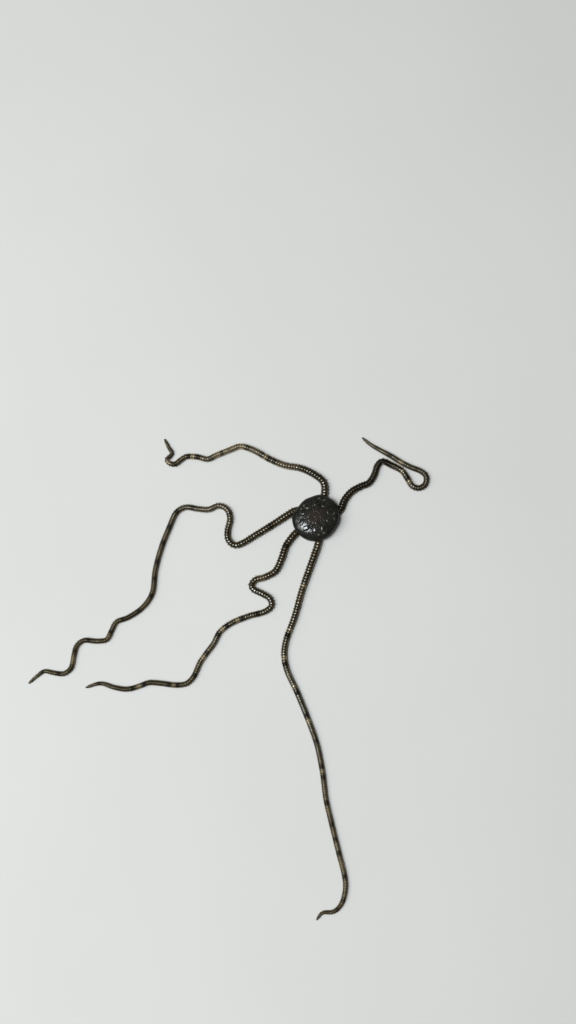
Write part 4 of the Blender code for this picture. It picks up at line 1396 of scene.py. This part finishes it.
def make_stage(context):
    """The floor, lights, surroundings and camera."""
    settings = context.scene.brittle_star_stage
    bpy.ops.mesh.primitive_grid_add(x_subdivisions=2, y_subdivisions=2, size=settings.floor_size,
                                    location=(0.0, 0.0, -FLOOR_DROP))
    floor = context.active_object
    floor.name = "floor"
    floor.data.materials.append(floor_finish(context.scene))
    for name in LIGHTS:
        add_light(name, getattr(settings, name))
    world = bpy.data.worlds.new("room")
    world.use_nodes = True
    background = world.node_tree.nodes["Background"]
    background.inputs["Color"].default_value = ROOM_TINT
    background.inputs["Strength"].default_value = settings.sky
    context.scene.world = world
    lens = bpy.data.cameras.new("camera")
    lens.lens = CAMERA_LENS
    lens.sensor_width = CAMERA_SENSOR
    lens.clip_start = CAMERA_NEAR
    lens.clip_end = CAMERA_FAR
    camera = add_object("camera", lens)
    camera.location = CAMERA_PLACE
    camera.rotation_euler = (math.radians(CAMERA_TILT), 0.0, 0.0)
    context.scene.camera = camera
    context.scene.view_settings.view_transform = "Standard"


# Operators and panel

class PieceOperator:
    """What the operators share; one that can't finish raises."""

    bl_options = {"REGISTER", "UNDO"}


class BRITTLESTAR_OT_skin(PieceOperator, bpy.types.Operator):
    """Make the skin of the disc and arms"""

    bl_idname = "brittlestar.skin"
    bl_label = "Skin"

    def execute(self, context):
        make_skin(context)
        return {"FINISHED"}


class BRITTLESTAR_OT_arm_plates(PieceOperator, bpy.types.Operator):
    """Make the plates along the top, sides and underside of each arm"""

    bl_idname = "brittlestar.arm_plates"
    bl_label = "Arm plates"

    def execute(self, context):
        make_arm_plates(context)
        return {"FINISHED"}


class BRITTLESTAR_OT_spines(PieceOperator, bpy.types.Operator):
    """Make the spines on both sides of each arm"""

    bl_idname = "brittlestar.spines"
    bl_label = "Arm spines"

    def execute(self, context):
        make_spines(context)
        return {"FINISHED"}


class BRITTLESTAR_OT_disc_plates(PieceOperator, bpy.types.Operator):
    """Make the disc's scales, middle plates and radial shields"""

    bl_idname = "brittlestar.disc_plates"
    bl_label = "Disc plates"

    def execute(self, context):
        make_disc_scales(context)
        make_middle_plates(context)
        make_radial_shields(context)
        return {"FINISHED"}


class BRITTLESTAR_OT_jaws(PieceOperator, bpy.types.Operator):
    """Make the jaws and the shields round the mouth"""

    bl_idname = "brittlestar.jaws"
    bl_label = "Mouth parts"

    def execute(self, context):
        make_jaws(context)
        return {"FINISHED"}


class BRITTLESTAR_OT_stage(PieceOperator, bpy.types.Operator):
    """Make the floor, lights and camera"""

    bl_idname = "brittlestar.stage"
    bl_label = "Stage"

    def execute(self, context):
        make_stage(context)
        return {"FINISHED"}


OPERATORS = (BRITTLESTAR_OT_skin, BRITTLESTAR_OT_arm_plates, BRITTLESTAR_OT_spines,
             BRITTLESTAR_OT_disc_plates, BRITTLESTAR_OT_jaws, BRITTLESTAR_OT_stage)


class BRITTLESTAR_PT_pieces(bpy.types.Panel):
    """Lists the pieces and the stage"""

    bl_idname = "BRITTLESTAR_PT_pieces"
    bl_label = "Brittle Star"
    bl_space_type = "VIEW_3D"
    bl_region_type = "UI"
    bl_category = "Brittle Star"

    def draw(self, context):
        for operator in OPERATORS:
            self.layout.operator(operator.bl_idname)
        for key, group in SETTINGS.items():
            self.layout.separator()
            settings = getattr(context.scene, key)
            for name in group.__annotations__:
                self.layout.prop(settings, name)


SETTINGS = {
    "brittle_star_arms": ArmSettings,
    "brittle_star_disc": DiscSettings,
    "brittle_star_mouth": MouthSettings,
    "brittle_star_stage": StageSettings,
}


def register():
    for group in SETTINGS.values():
        bpy.utils.register_class(group)
    for key, group in SETTINGS.items():
        setattr(bpy.types.Scene, key, PointerProperty(type=group))
    for operator in OPERATORS:
        bpy.utils.register_class(operator)
    bpy.utils.register_class(BRITTLESTAR_PT_pieces)


def unregister():
    bpy.utils.unregister_class(BRITTLESTAR_PT_pieces)
    for operator in reversed(OPERATORS):
        bpy.utils.unregister_class(operator)
    for key in SETTINGS:
        delattr(bpy.types.Scene, key)
    for group in SETTINGS.values():
        bpy.utils.unregister_class(group)


def main():
    register()
    for operator in OPERATORS:
        group, name = operator.bl_idname.split(".")
        getattr(getattr(bpy.ops, group), name)()
    bpy.context.view_layer.update()


if __name__ == "__main__":
    main()
